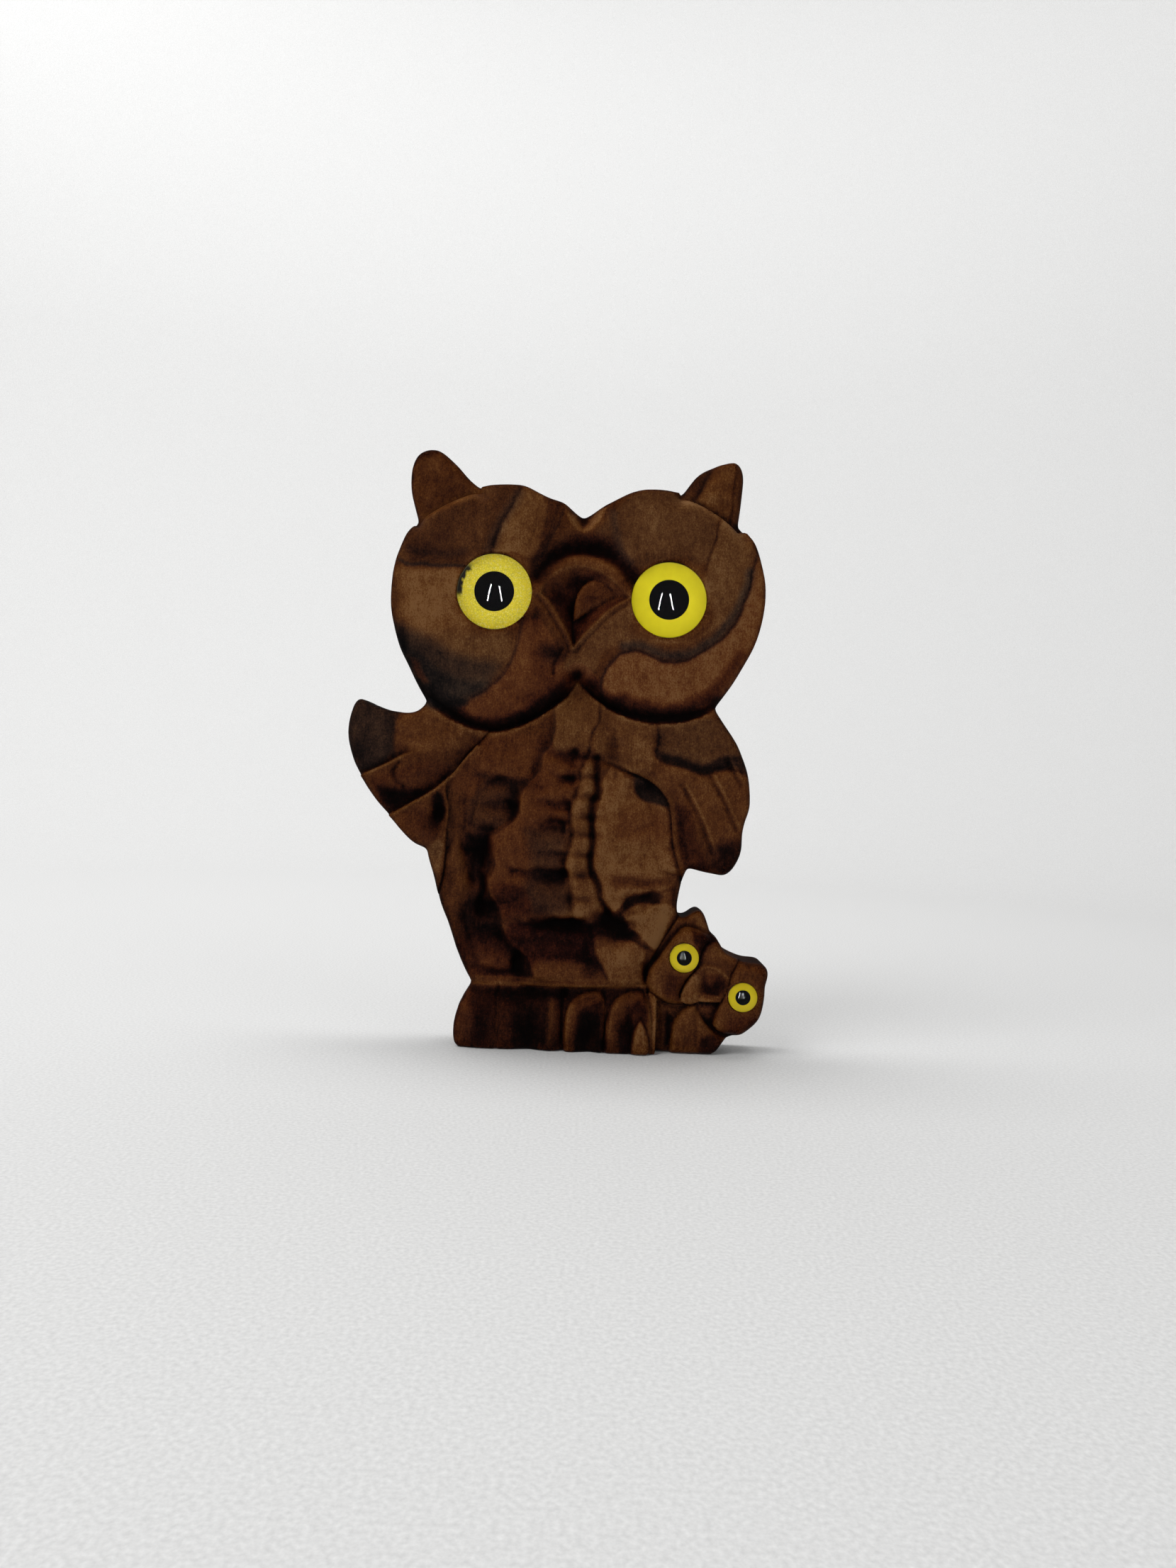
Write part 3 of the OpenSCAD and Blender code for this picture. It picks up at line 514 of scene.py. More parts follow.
def front_points():
    """Outline ring first, then rows along creases and eye sockets, then an even grid."""
    normal = outward(OUTLINE)
    rows = []
    for inset in (0.15, 0.4, 0.75, 1.2):
        ring = OUTLINE - inset * normal
        d = distance(ring, np.vstack([OUTLINE, OUTLINE[:1]]), 2)
        rows.append(ring[d > 0.93 * inset])
    crease_pts = []
    for line in CREASES:
        fine = even(line, RIM_STEP)
        along = np.gradient(fine, axis=0)
        side = np.stack([along[:, 1], -along[:, 0]], 1)
        side /= np.linalg.norm(side, axis=1)[:, None]
        crease_pts += [fine + 0.13 * side, fine - 0.13 * side]
    for eye in EYE_SPECS:
        for r in (eye["r"] + 0.03, eye["r"] + 0.12, eye["r"] + 0.5):
            n = int(2 * math.pi * r / 0.4)
            a = np.arange(n) * 2 * math.pi / n
            crease_pts.append(np.stack([eye["x"] + r * np.cos(a), eye["z"] + r * np.sin(a)], 1))
    crease_pts = np.vstack(crease_pts)
    lo, hi = OUTLINE.min(0), OUTLINE.max(0)
    xs = np.arange(lo[0], hi[0], GRID)
    zs = np.arange(lo[1], hi[1], GRID * 0.866)
    gx, gz = np.meshgrid(xs, zs)
    gx = gx + (np.arange(len(zs)) % 2)[:, None] * GRID / 2
    grid = np.stack([gx.ravel(), gz.ravel()], 1)
    grid = grid[signed(grid, OUTLINE[::2], 2) > 1.5]
    crease_pts = crease_pts[signed(crease_pts, OUTLINE[::2], 1) > 0.35]
    # keep the grid off the crease rows, looking through them square by square
    square, gap_squared = 0.5, 0.05
    cell = {}
    for p in crease_pts.tolist():
        cell.setdefault((int(p[0] // square), int(p[1] // square)), []).append(p)
    keep = []
    for p in grid.tolist():
        i, j = int(p[0] // square), int(p[1] // square)
        near = (q for a in (-1, 0, 1) for b in (-1, 0, 1) for q in cell.get((i + a, j + b), ()))
        keep.append(all((p[0] - q[0]) ** 2 + (p[1] - q[1]) ** 2 > gap_squared for q in near))
    return np.vstack([OUTLINE] + rows + [crease_pts, grid[np.array(keep)]])


def triangulate(points, n_rim):
    """Triangles between the points, kept inside the rim that the first n_rim points make."""
    rim = [(i, (i + 1) % n_rim) for i in range(n_rim)]
    co, _, faces, _, _, _ = geometry.delaunay_2d_cdt(
        [Vector(p) for p in points.tolist()], rim, [], 1, 1e-4, True)
    co = np.array([tuple(c) for c in co])
    inside = within(co[np.array(faces)].mean(1), points[:n_rim])
    return co, [tuple(f) for f, keep in zip(faces, inside) if keep]


def build_carving():
    n = len(OUTLINE)
    co, faces = triangulate(front_points(), n)
    D = signed(co, OUTLINE)
    D[:n] = 0
    D = np.maximum(D, 0)
    H = height(co, D)
    verts = [(x, -h, z) for (x, z), h in zip(co.tolist(), H.tolist())]
    # rounded sides down to the flat back
    normal = outward(OUTLINE)
    wave = fog(OUTLINE, 6.0, 8.2)
    front = H[:n]
    sole = np.clip(1 - OUTLINE[:, 1] / 1.5, 0, 1)[:, None]
    ring = list(range(n))
    rows = 9
    for k in range(1, rows + 4):
        if k <= rows:
            t = k / rows
            level = front + (BACK_H + 1.0 - front) * t
            inset = 0.25 * math.sin(math.pi * t) * (wave - 0.4)
        else:
            turn = (k - rows) / 3 * math.pi / 2
            level = np.full(n, BACK_H + 1.0 - math.sin(turn))
            inset = np.full(n, (1 - math.cos(turn)))
        pts = OUTLINE - (inset[:, None] * (1 - sole)) * normal
        start = len(verts)
        verts += [(p[0], -lv, max(p[1], 0.0)) for p, lv in zip(pts.tolist(), level.tolist())]
        now = list(range(start, start + n))
        for i in range(n):
            j = (i + 1) % n
            faces.append((ring[j], ring[i], now[i], now[j]))
        ring = now
    # flat back
    back_rim = np.array([(verts[i][0], verts[i][2]) for i in ring])
    lo, hi = back_rim.min(0), back_rim.max(0)
    gx, gz = np.meshgrid(np.arange(lo[0], hi[0], 2.5), np.arange(lo[1], hi[1], 2.5))
    inner = np.stack([gx.ravel(), gz.ravel()], 1)
    inner = inner[signed(inner, back_rim) > 1.2]
    bco, bfaces = triangulate(np.vstack([back_rim, inner]), n)
    start = len(verts)
    verts += [(x, -BACK_H, z) for x, z in bco[n:].tolist()]
    index = ring + list(range(start, start + len(bco) - n))
    faces += [tuple(index[v] for v in reversed(f)) for f in bfaces]
    mesh = bpy.data.meshes.new("owl_wood")
    mesh.from_pydata([tuple(c * MM for c in v) for v in verts], [], faces)
    mesh.validate()
    mesh.shade_smooth()
    obj = bpy.data.objects.new("owl_wood", mesh)
    bpy.context.scene.collection.objects.link(obj)
    return obj, D


wood_obj, DEPTH = build_carving()
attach(wood_obj, "root")
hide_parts("carving")


# ---------------------------------------------------------------- colour of the wood, with painted shade and light

def straight(*corners):
    """Closed line with sharp corners."""
    return np.array(corners, float)


def line_of(points):
    """Smooth line through listed points.  An array is a finished line already."""
    return points if isinstance(points, np.ndarray) else curve(points)


def loop_of(points):
    """Smooth closed line through listed points.  An array is a finished line already."""
    return points if isinstance(points, np.ndarray) else curve([*points, points[0]], 1.5)[:-1]


# growth line across the right face disc, from the temple round to the chin
MAIN_LINE = [(37.2, 120.6), (36.4, 116), (35, 111), (33, 105.6), (30, 101), (26, 98), (22, 95.6),
             (18.6, 94.6), (15.2, 94.8), (12, 96), (9, 97), (6.4, 96.6), (4.4, 95.2), (2.4, 92.8),
             (1.2, 90), (1.2, 87), (2.4, 83.5)]

# most of the darkest fields lie in hollows and hold painted shade as well as dark wood
# fields of one colour, painted one over the other: (outline, tone, rust, ash, softness of the edge)
FIELDS = (
    # left face disc: brown crown, tan cheek, red panel beside the beak, grey cloud below
    ([(-52, 116.6), (-46, 116), (-42, 116.2), (-38, 115.6), (-33, 115.6), (-28, 119), (-26.3, 121),
     (-24.5, 126), (-22.5, 130.5), (-20, 137), (-36, 138), (-52, 130)], 0.50, 0.15, 0.12, 0.25),
    ([(-26.3, 119.5), (-24.5, 126), (-22.2, 130.8), (-19.6, 136), (-14, 133), (-14.4, 126), (-16.4, 118.6),
     (-20, 119.4)], 0.82, 0.1, 0.05, 0.3),
    ([(-51, 115.5), (-46, 115.2), (-40, 115), (-34.5, 114.6), (-35, 106), (-30, 100.5), (-33, 97),
     (-41, 96.5), (-47, 99), (-51, 103)], 0.90, 0.15, 0.0, 1.2),
    ([(-40, 100), (-30, 99.5), (-22, 100.5), (-20.5, 95), (-24, 90), (-32, 91.5),
     (-40, 94)], 0.78, 0.0, 0.1, 2.0),
    ([(-18.4, 103.5), (-19.5, 98.5), (-20.6, 94), (-23, 90), (-26.5, 86.6), (-30.5, 84), (-31, 80),
     (-20, 78), (-8, 84), (-7.5, 92), (-10.5, 98), (-14, 103.5)], 0.70, 0.60, 0.0, 0.25),
    ([(-51, 103), (-46, 100.6), (-41, 98.4), (-36, 95.4), (-30, 93.6), (-23.6, 92.6), (-27, 87),
     (-31, 84.6), (-36, 83), (-41, 83.5), (-47, 92)], 0.44, 0.0, 0.55, 2.2),
    ([(-50, 101), (-46, 96.6), (-41.6, 93), (-37, 90), (-31, 88.4), (-26, 88.6), (-27, 86.6), (-31, 84.6),
     (-36, 83), (-41, 83.5), (-47, 92)], 0.24, 0.0, 0.8, 1.4),
    ([(-51, 99), (-47, 94.6), (-43.6, 90), (-39, 86.6), (-33, 84.6), (-31, 83), (-37, 81), (-42, 83),
     (-48, 91)], 0.13, 0.0, 0.8, 1.0),
    ([(-45.6, 94), (-43.4, 93), (-41.6, 89.4), (-40, 87.6), (-42.4, 87.8),
     (-44.6, 90.4)], 0.42, 0.5, 0.2, 0.7),
    ([(-13.6, 98), (-11, 98), (-8.6, 95), (-9.4, 93.4), (-12.6, 94), (-14.4, 96)], 0.40, 0.4, 0.1, 1.6),
    # right face disc: long grey-brown cheek inside the main line, warm rim outside it
    ([(-2, 125), (6, 134), (16, 137), (27, 133), (27.6, 126), (25.4, 118.5), (18, 119.5), (10, 117),
     (4, 118)], 0.60, 0.1, 0.16, 1.0),
    ([(28, 130), (27.2, 125), (25.6, 119), (25, 113), (27, 105), (22, 99.5), (12, 99), (2, 97), (-2, 90),
     (-8, 92), (-5.5, 98), (2, 105), (8, 108), (8, 101), (20, 99.4), (27, 102), (33, 108), (36.2, 116),
     (37, 122), (33, 127)], 0.74, 0.12, 0.10, 0.8),
    ([(38, 124), *MAIN_LINE, (16, 81), (30, 85), (38, 97), (42, 110)], 0.86, 0.55, 0.0, 0.22),
    ([(4, 84.5), (16, 82), (27, 84.5), (35, 96), (33.6, 97.4), (26, 88), (16, 84.6),
     (6, 86.6)], 0.42, 0.7, 0.0, 1.2),
    # brow, beak and the dark hollow above them
    ([(-16, 113), (-13.6, 118), (-9, 122.5), (-4, 124.6), (2, 123.2), (6, 119.6), (9, 115), (6.4, 114.6),
     (2, 118), (-3, 119.8), (-9, 119.2), (-13, 116.6)], 0.24, 0.7, 0.0, 1.6),
    ([(-15.2, 110), (-14.8, 113.4), (-12.4, 116.8), (-9, 118.9), (-5, 119.8), (-1, 119), (3, 117),
     (6, 114.2), (8, 110.6), (6.6, 110.4), (4.2, 112.4), (1.6, 114.7), (-1.6, 116.4), (-5, 117.1),
     (-8.4, 116.5), (-11.2, 115), (-13.4, 112.6)], 0.66, 0.3, 0.0, 0.5),
    ([(-14, 110), (-13.2, 112.4), (-11, 114.6), (-8.4, 116.1), (-5, 116.7), (-1.6, 116), (1.6, 114.4),
     (4.4, 112), (6.6, 110), (-5.6, 104)], 0.52, 0.4, 0.0, 0.3),
    ([(-13.4, 109.2), (-10.4, 110.4), (-8, 112.8), (-5.2, 114.9), (-2.2, 115.4), (1, 114.6), (-2, 113.8),
     (-5, 111.6), (-6.2, 107), (-6.3, 102), (-6.3, 98), (-8.6, 102.6), (-11, 106.6)], 0.27, 0.6, 0.0, 1.0),
    ([(-6.2, 103.8), (-6.2, 107), (-5.4, 110.4), (-3.7, 112.8), (-1.2, 114), (1.5, 113.4), (3.9, 111.7),
     (6.2, 109.8), (2.6, 108.7), (-0.6, 107.3), (-3.4, 105.6)], 0.54, 0.35, 0.0, 0.4),
    ([(-6.1, 103.4), (-3.4, 105.2), (-0.6, 106.9), (2.6, 108.3), (6.6, 109.6), (4.2, 108), (1.4, 106),
     (-1.2, 103.4), (-4, 100.4), (-6.1, 98)], 0.42, 0.8, 0.0, 0.4),
    ([(-9, 130.6), (-7.4, 127), (-5.2, 125.4), (-2.6, 126.2), (-0.6, 128.6), (0.6, 131.6),
     (-4.6, 129)], 0.80, 0.2, 0.0, 0.35),
    # left wing
    ([(-62, 84), (-48.6, 82), (-48.8, 76), (-49.4, 70), (-56, 66), (-62, 70)], 0.34, 0.1, 0.55, 0.5),
    ([(-48, 80), (-42, 82), (-30, 77), (-33, 72), (-40, 72.5), (-48, 73)], 0.66, 0.25, 0.0, 1.2),
    ([(-54, 63.6), (-47, 66.6), (-38, 69), (-34.6, 66), (-42, 60.5), (-50, 56.5)], 0.50, 0.45, 0.0, 0.6),
    ([(-52.5, 62.5), (-47, 61.5), (-42, 62), (-44, 59.6), (-50, 57.6)], 0.10, 0.5, 0.0, 1.2),
    ([(-47, 54.5), (-41, 58.4), (-38.5, 58), (-37.5, 51), (-41, 49), (-45, 51)], 0.58, 0.4, 0.0, 1.0),
    ([(-39, 61), (-36.4, 61), (-35.6, 55.6), (-38, 54.4), (-38.6, 57.6)], 0.04, 0.3, 0.0, 0.7),
    ([(-40.5, 47.5), (-36.4, 50), (-36.4, 43), (-37.4, 36), (-39.6, 41)], 0.82, 0.1, 0.1, 0.5),
    # belly: left rib, dark valley, middle panels
    ([(-35, 57), (-31, 60), (-30.6, 52), (-30, 45.5), (-28.4, 42), (-29, 37), (-30.6, 33), (-30, 28),
     (-33, 28.4), (-36.5, 36), (-35.3, 47)], 0.54, 0.2, 0.0, 0.5),
    ([(-30.4, 52), (-25, 51), (-23.6, 46), (-25, 41), (-24, 37), (-21.4, 32), (-24, 25), (-29.4, 24),
     (-30.2, 33), (-28.4, 38), (-28.4, 42), (-30, 46)], 0.22, 0.35, 0.1, 0.45),
    ([(-28.6, 50.5), (-26.4, 50.2), (-25.6, 46.6), (-27, 45), (-29, 47)], 0.02, 0.2, 0.0, 1.7),
    ([(-28.4, 34.4), (-25, 35.2), (-22, 34.6), (-21.8, 33), (-25, 32.6),
     (-28, 32.8)], 0.05, 0.5, 0.0, 1.6),
    ([(-26, 65), (-19, 64.4), (-17.8, 61), (-17.8, 57), (-21, 53.6), (-26, 51.6), (-30, 53),
     (-29.6, 60)], 0.46, 0.15, 0.15, 1.0),
    ([(-36, 63), (-27, 75), (-11, 75), (-13, 68), (-16, 64.6), (-27, 66), (-29, 60)], 0.60, 0.4, 0.0, 0.5),
    ([(-10.2, 85), (-9.8, 75), (-12.6, 71.4), (-13, 68), (-18, 61.5), (-17.8, 57), (-25, 51), (-23.6, 44),
     (-24.6, 40), (-15, 39), (-5.4, 41), (-6.6, 45), (-5, 51.5), (-5.4, 57), (-3.3, 65), (-1.4, 72.6),
     (-1, 86), (-5, 89)], 0.60, 0.45, 0.0, 0.3),
    ([(-16, 53), (-6, 54), (-6, 51.5), (-7, 45), (-5.4, 40), (-5, 33), (-13, 33.6), (-16, 38.6),
     (-14, 44)], 0.46, 0.2, 0.25, 1.6),
    ([(-24, 40), (-16, 39), (-14, 33.4), (-20, 31.5), (-22, 34)], 0.42, 0.65, 0.0, 0.8),
    ([(-14, 31.4), (-3, 30.8), (2.4, 29), (12, 27.4), (10, 32), (4.6, 34), (1, 30),
     (-4, 31.8)], 0.05, 0.4, 0.0, 1.5),
    ([(-19, 30.6), (0.4, 30.4), (1.6, 24), (4.6, 17), (-12.4, 17), (-14.6, 21.6),
     (-20, 26)], 0.33, 0.85, 0.0, 0.6),
    ([(-13, 17), (-12.6, 21.4), (-4, 22), (2, 20.6), (4, 17)], 0.62, 0.35, 0.0, 1.0),
    ([(-30, 28), (-21, 28), (-17, 22), (-15, 17), (-27.6, 17), (-31.6, 24)], 0.44, 0.55, 0.0, 0.8),
    ([(-19.5, 24.4), (-15.4, 22.4), (-13.6, 17.6), (-17.4, 18.6)], 0.06, 0.4, 0.0, 1.5),
    ([(-10.4, 85.5), (-4.9, 89), (0.6, 84), (-0.6, 78), (-1.6, 73), (-9.4, 72.4),
     (-10, 78)], 0.72, 0.1, 0.05, 0.35),
    ([(0.8, 84), (8, 81.4), (14.6, 79.6), (15.4, 76), (14.6, 71), (12, 67), (4, 69.8), (0.8, 71),
     (-0.6, 77)], 0.70, 0.15, 0.05, 0.4),
    # light rib and the large light panel beside it
    ([(-1.2, 72), (-3.2, 67.6), (-3.4, 64), (-5, 60), (-5.4, 56), (-4.9, 51.5), (-6.5, 45), (-5, 41),
     (-4.5, 36), (-4, 31.6), (0.6, 31), (3.4, 34), (1.6, 38), (-0.4, 44), (-0.6, 50), (-0.8, 56),
     (0.2, 62), (0, 67)], 0.76, 0.2, 0.05, 0.25),
    ([(4.2, 69.4), (2.8, 66.8), (2, 62), (0.9, 57), (0.8, 50), (0.8, 45), (2.4, 41), (3.4, 37),
     (5.6, 33.8), (8.4, 36), (11, 38.8), (17, 39.4), (20.6, 41), (20.4, 46), (19.2, 52), (18.4, 59.2),
     (14, 60.8), (10.4, 63), (10.2, 65.4), (8, 66.6)], 0.84, 0.25, 0.0, 0.25),
    ([(7, 58), (12, 59), (17.6, 57.6), (18.8, 53), (15, 51), (8, 51.4), (5, 54)], 0.68, 0.45, 0.0, 2.2),
    ([(3, 49), (10, 50), (15, 48), (19, 47), (19, 43.6), (10, 43), (3.6, 44)], 0.90, 0.15, 0.0, 2.0),
    ([(6, 42.6), (13, 42), (19.6, 42.6), (19.4, 40.6), (12, 40), (6, 40.4)], 0.60, 0.4, 0.0, 1.2),
    ([(8.4, 33.6), (10.6, 35.4), (17.6, 36.2), (20.6, 35.6), (21, 32), (19, 28), (17.4, 25.2),
     (15.4, 25.4), (13, 28), (9.6, 30.6)], 0.90, 0.05, 0.0, 0.3),
    ([(7.6, 35), (10, 37.6), (13.4, 38.9), (17, 38.8), (17.8, 37.4), (16.4, 36), (12, 36.2),
     (9, 34.6)], 0.22, 0.25, 0.1, 0.4),
    ([(2, 25), (4.4, 20), (5.4, 17.2), (12.6, 17), (13.2, 21), (14, 24.6), (11, 27),
     (6, 26.6)], 0.78, 0.25, 0.0, 0.7),
    # right wing
    ([(15, 79.8), (15.6, 76), (15, 72.8), (16.2, 71), (20, 70.2), (24, 69), (27, 68), (30, 69.8), (34, 70),
     (38, 68.6), (37, 72), (31, 81), (22, 80.6)], 0.62, 0.05, 0.14, 0.3),
    ([(15, 73), (21, 71.8), (26, 70), (30, 72), (36, 73), (38, 68.6), (33, 70), (27, 68), (20, 70),
     (16, 71)], 0.28, 0.15, 0.35, 0.7),
    ([(14, 69), (20, 69.6), (26.6, 67.4), (30, 69), (37, 68), (39, 62), (36, 52), (30, 50), (25, 57),
     (20, 61.4), (17, 65)], 0.66, 0.30, 0.0, 0.4),
    ([(19.8, 60), (24, 59), (25, 53), (29, 45), (22.4, 45), (20.8, 51)], 0.36, 0.55, 0.0, 1.6),
    ([(29, 51), (36.6, 52), (37, 47), (33, 43.5), (28.6, 46)], 0.20, 0.5, 0.1, 1.6),
    ([(10, 67.4), (15, 64.8), (18.4, 60.2), (14, 60.8), (10.4, 63)], 0.30, 0.0, 0.45, 0.6),
    # perch log
    (straight((-33, -1), (-33, 15.6), (18, 15.6), (18, -1)), 0.28, 0.50, 0.0, 0.6),
    ([(-32, 13), (-27.4, 9), (-26.6, 4), (-31, 1), (-33, 6)], 0.46, 0.45, 0.05, 1.0),
    (straight((-17, 12), (-11, 10), (-11, -1), (-17, -1)), 0.06, 0.3, 0.0, 1.6),
    (straight((-9.4, 13), (-6.8, 13), (-6.8, -1), (-9.4, -1)), 0.36, 0.35, 0.0, 0.8),
    ([(-4.6, -1), (-4.4, 9), (-2.6, 12.4), (2, 14.4), (4.4, 13), (2, 12), (-1, 10.4), (-2.2, 7),
     (-2.2, -1)], 0.52, 0.35, 0.0, 0.5),
    ([(-1.6, 8), (0, 10), (3.2, 8), (3.6, -1), (-1.8, -1)], 0.05, 0.3, 0.0, 1.0),
    ([(5.4, -1), (6, 9), (7.4, 12.6), (12, 14.6), (14, 14), (12, 12.4), (9, 9), (8.6, 3),
     (8.6, -1)], 0.52, 0.30, 0.0, 0.7),
    ([(9.4, 8), (13, 12.4), (15.4, 9), (14, 9), (11.4, 5), (11, -1), (9.4, -1)], 0.16, 0.7, 0.0, 0.8),
    ([(11.7, -1), (11.8, 3), (13.5, 8), (15.2, 3), (15.2, -1)], 0.74, 0.2, 0.0, 0.2),
    # owlet
    ([(15.4, 17), (15, 2), (17.5, -1), (36, -1), (48, 12), (46, 26), (30, 38), (21, 34),
     (18, 27)], 0.58, 0.25, 0.0, 0.4),
    (straight((16.4, 15), (19, 10), (19.6, -1), (16.4, -1)), 0.56, 0.35, 0.0, 0.5),
    ([(19.8, 10), (21.4, 8), (20.9, 2), (19.8, 2)], 0.10, 0.4, 0.0, 0.7),
    ([(25, 30.6), (31.6, 28), (29, 26), (27.2, 20.5), (25.6, 20), (27, 24),
     (25.6, 28.6)], 0.13, 0.6, 0.0, 0.5),
    ([(20, 19.4), (24.4, 18.6), (23, 14), (23.4, 12.6), (20.4, 13), (18.4, 15)], 0.36, 0.45, 0.0, 1.0),
    ([(28.4, 19.6), (32, 19.6), (34, 18), (32.6, 14.8), (28.6, 14.8)], 0.14, 0.6, 0.0, 0.7),
    ([(28, 12.4), (32, 13), (31.2, 8), (30, 7.6), (28.4, 9.4)], 0.34, 0.5, 0.05, 0.8),
    ([(23.4, 13), (23.8, 16), (26.8, 20.2), (27.4, 16), (27.2, 13)], 0.74, 0.2, 0.0, 0.3),
    ([(21.4, -1), (21.4, 6), (24, 11.4), (27, 12), (28, 9), (30, 6), (28, 3),
     (27, -1)], 0.64, 0.25, 0.0, 0.6),
    ([(28.5, 4), (32.4, 5), (33, 1), (30, -1), (28, 0)], 0.20, 0.55, 0.05, 0.9),
    ([(32, 7), (38, 10), (42, 8), (36, 4.6)], 0.46, 0.55, 0.0, 1.0),
    # ears
    ([(-50, 126), (-44, 126.6), (-30, 134.4), (-29, 138), (-40, 147), (-50, 144)], 0.54, 0.25, 0.0, 0.3),
    ([(17, 135), (22.4, 134.6), (26.2, 142.6), (25, 145), (19, 139)], 0.36, 0.2, 0.1, 0.5),
    ([(22.6, 134.6), (26.6, 142.6), (31, 144), (32.2, 142), (31.2, 129.6)], 0.64, 0.15, 0.0, 0.4),
    ([(-47.6, 140), (-46.6, 145), (-40, 146.4), (-41, 143.8), (-44.6, 142.6)], 0.2, 0.3, 0.0, 0.8),
)

# dark lines, mostly in the wood's pattern, with painted shade in one hollow: (line, darkness, half width, how
# much of the shade is ash)
VEINS = (
    ([(-49, 117.2), (-46, 116), (-43, 116.3), (-40, 115.5), (-37, 116), (-33, 115.6)], 0.5, 0.45, 0.7),
    ([(-20.2, 135.4), (-22.4, 130.6), (-24.6, 126), (-26.1, 121.6), (-26.6, 118.8)], 0.5, 0.5, 0.2),
    ([(-20.8, 134), (-23.4, 129), (-25.8, 124), (-27.4, 119)], 0.22, 1.7, 0.5),
    ([(-11, 131.6), (-12, 127), (-13.4, 122.4), (-16.4, 117.6)], 0.35, 0.9, 0.1),
    ([(-13, 133), (-14, 128), (-15, 123), (-17, 118.4)], 0.16, 1.4, 0.1),
    ([(-9.4, 131.4), (-10.6, 127.4), (-12.4, 123.4), (-14.4, 119)], 0.4, 0.35, 0.2),
    ([(-15.6, 131), (-16.4, 127), (-17.6, 121)], 0.14, 0.5, 0.0),
    ([(-31, 132), (-31.6, 127), (-31, 121.6)], 0.12, 0.8, 0.0),
    ([(2.4, 130), (3, 126), (4.6, 121), (7, 118)], 0.16, 1.4, 0.5),
    ([(-46.6, 119.6), (-42, 119), (-37, 118.6), (-33, 119.4)], 0.3, 1.3, 0.3),
    ([(28.4, 130), (27.2, 125), (26.2, 121.4), (24.9, 117)], 0.5, 0.35, 0.0),
    ([(37.8, 123), *MAIN_LINE], 0.62, 0.38, 0.3),
    ([(36, 117), (34, 110.6), (31, 104.4), (26.6, 99.6), (21, 96.6), (16, 96.2), (10, 98.2),
     (6, 98)], 0.26, 1.2, 0.8),
    ([(-18.3, 103), (-19.4, 98.5), (-20.5, 94), (-22.8, 90), (-26.4, 86.6), (-30, 84.6)], 0.42, 0.35, 0.3),
    ([(-47.6, 80.6), (-48.9, 76.5), (-49, 72), (-48.6, 69.6)], 0.35, 0.5, 0.5),
    ([(-10.2, 84.4), *PANEL_HIGH], 0.45, 0.35, 0.2),
    ([(-25, 51), *PANEL_LOW], 0.5, 0.4, 0.1),
    ([(-1.4, 73), (-0.8, 77), (0.8, 80), (0.8, 84)], 0.5, 0.35, 0.1),
    ([(0.4, 30.6), (1.6, 24), (4.6, 19), (5.6, 16.8)], 0.6, 0.4, 0.0),
    ([(8, 29), (12, 26.8), (15.6, 24.6)], 0.6, 0.5, 0.0),
    ([(15, 79.8), (15.6, 76), (14.9, 72.8), (16.2, 71), (20, 70.2), (24, 69), (27, 67.8), (30, 69.8),
     (33, 69.6), (36.8, 68.4)], 0.55, 0.4, 0.1),
    ([(32.2, 143.4), (31.6, 138), (31.4, 133), (30.9, 128.6)], 0.5, 0.35, 0.0),
    ([(21.6, 134.2), (23.8, 138), (26.2, 142.4)], 0.4, 0.5, 0.2),
    # painted shade in the hollow beside the chest
    ([(5.1, 66.6), (5.4, 71), (5, 76)], 0.2, 0.9, 0.1),
    # darker along the left edges of the flank and the head
    ([(-38, 40), (-36, 33), (-33, 26), (-30, 19)], 0.6, 1.6, 0.0),
    ([(-50.6, 112), (-50, 104), (-48, 97), (-45, 91)], 0.35, 1.4, 0.1),
    ([(-31, 60), (-30.6, 52), (-30, 45.5), (-28.4, 42), (-29, 37), (-30.6, 33),
     (-30, 28)], 0.35, 0.5, 0.0),
    ([(-29, 66), (-24, 65.6), (-19, 64.8), (-16, 64.8)], 0.3, 0.9, 0.1),
)
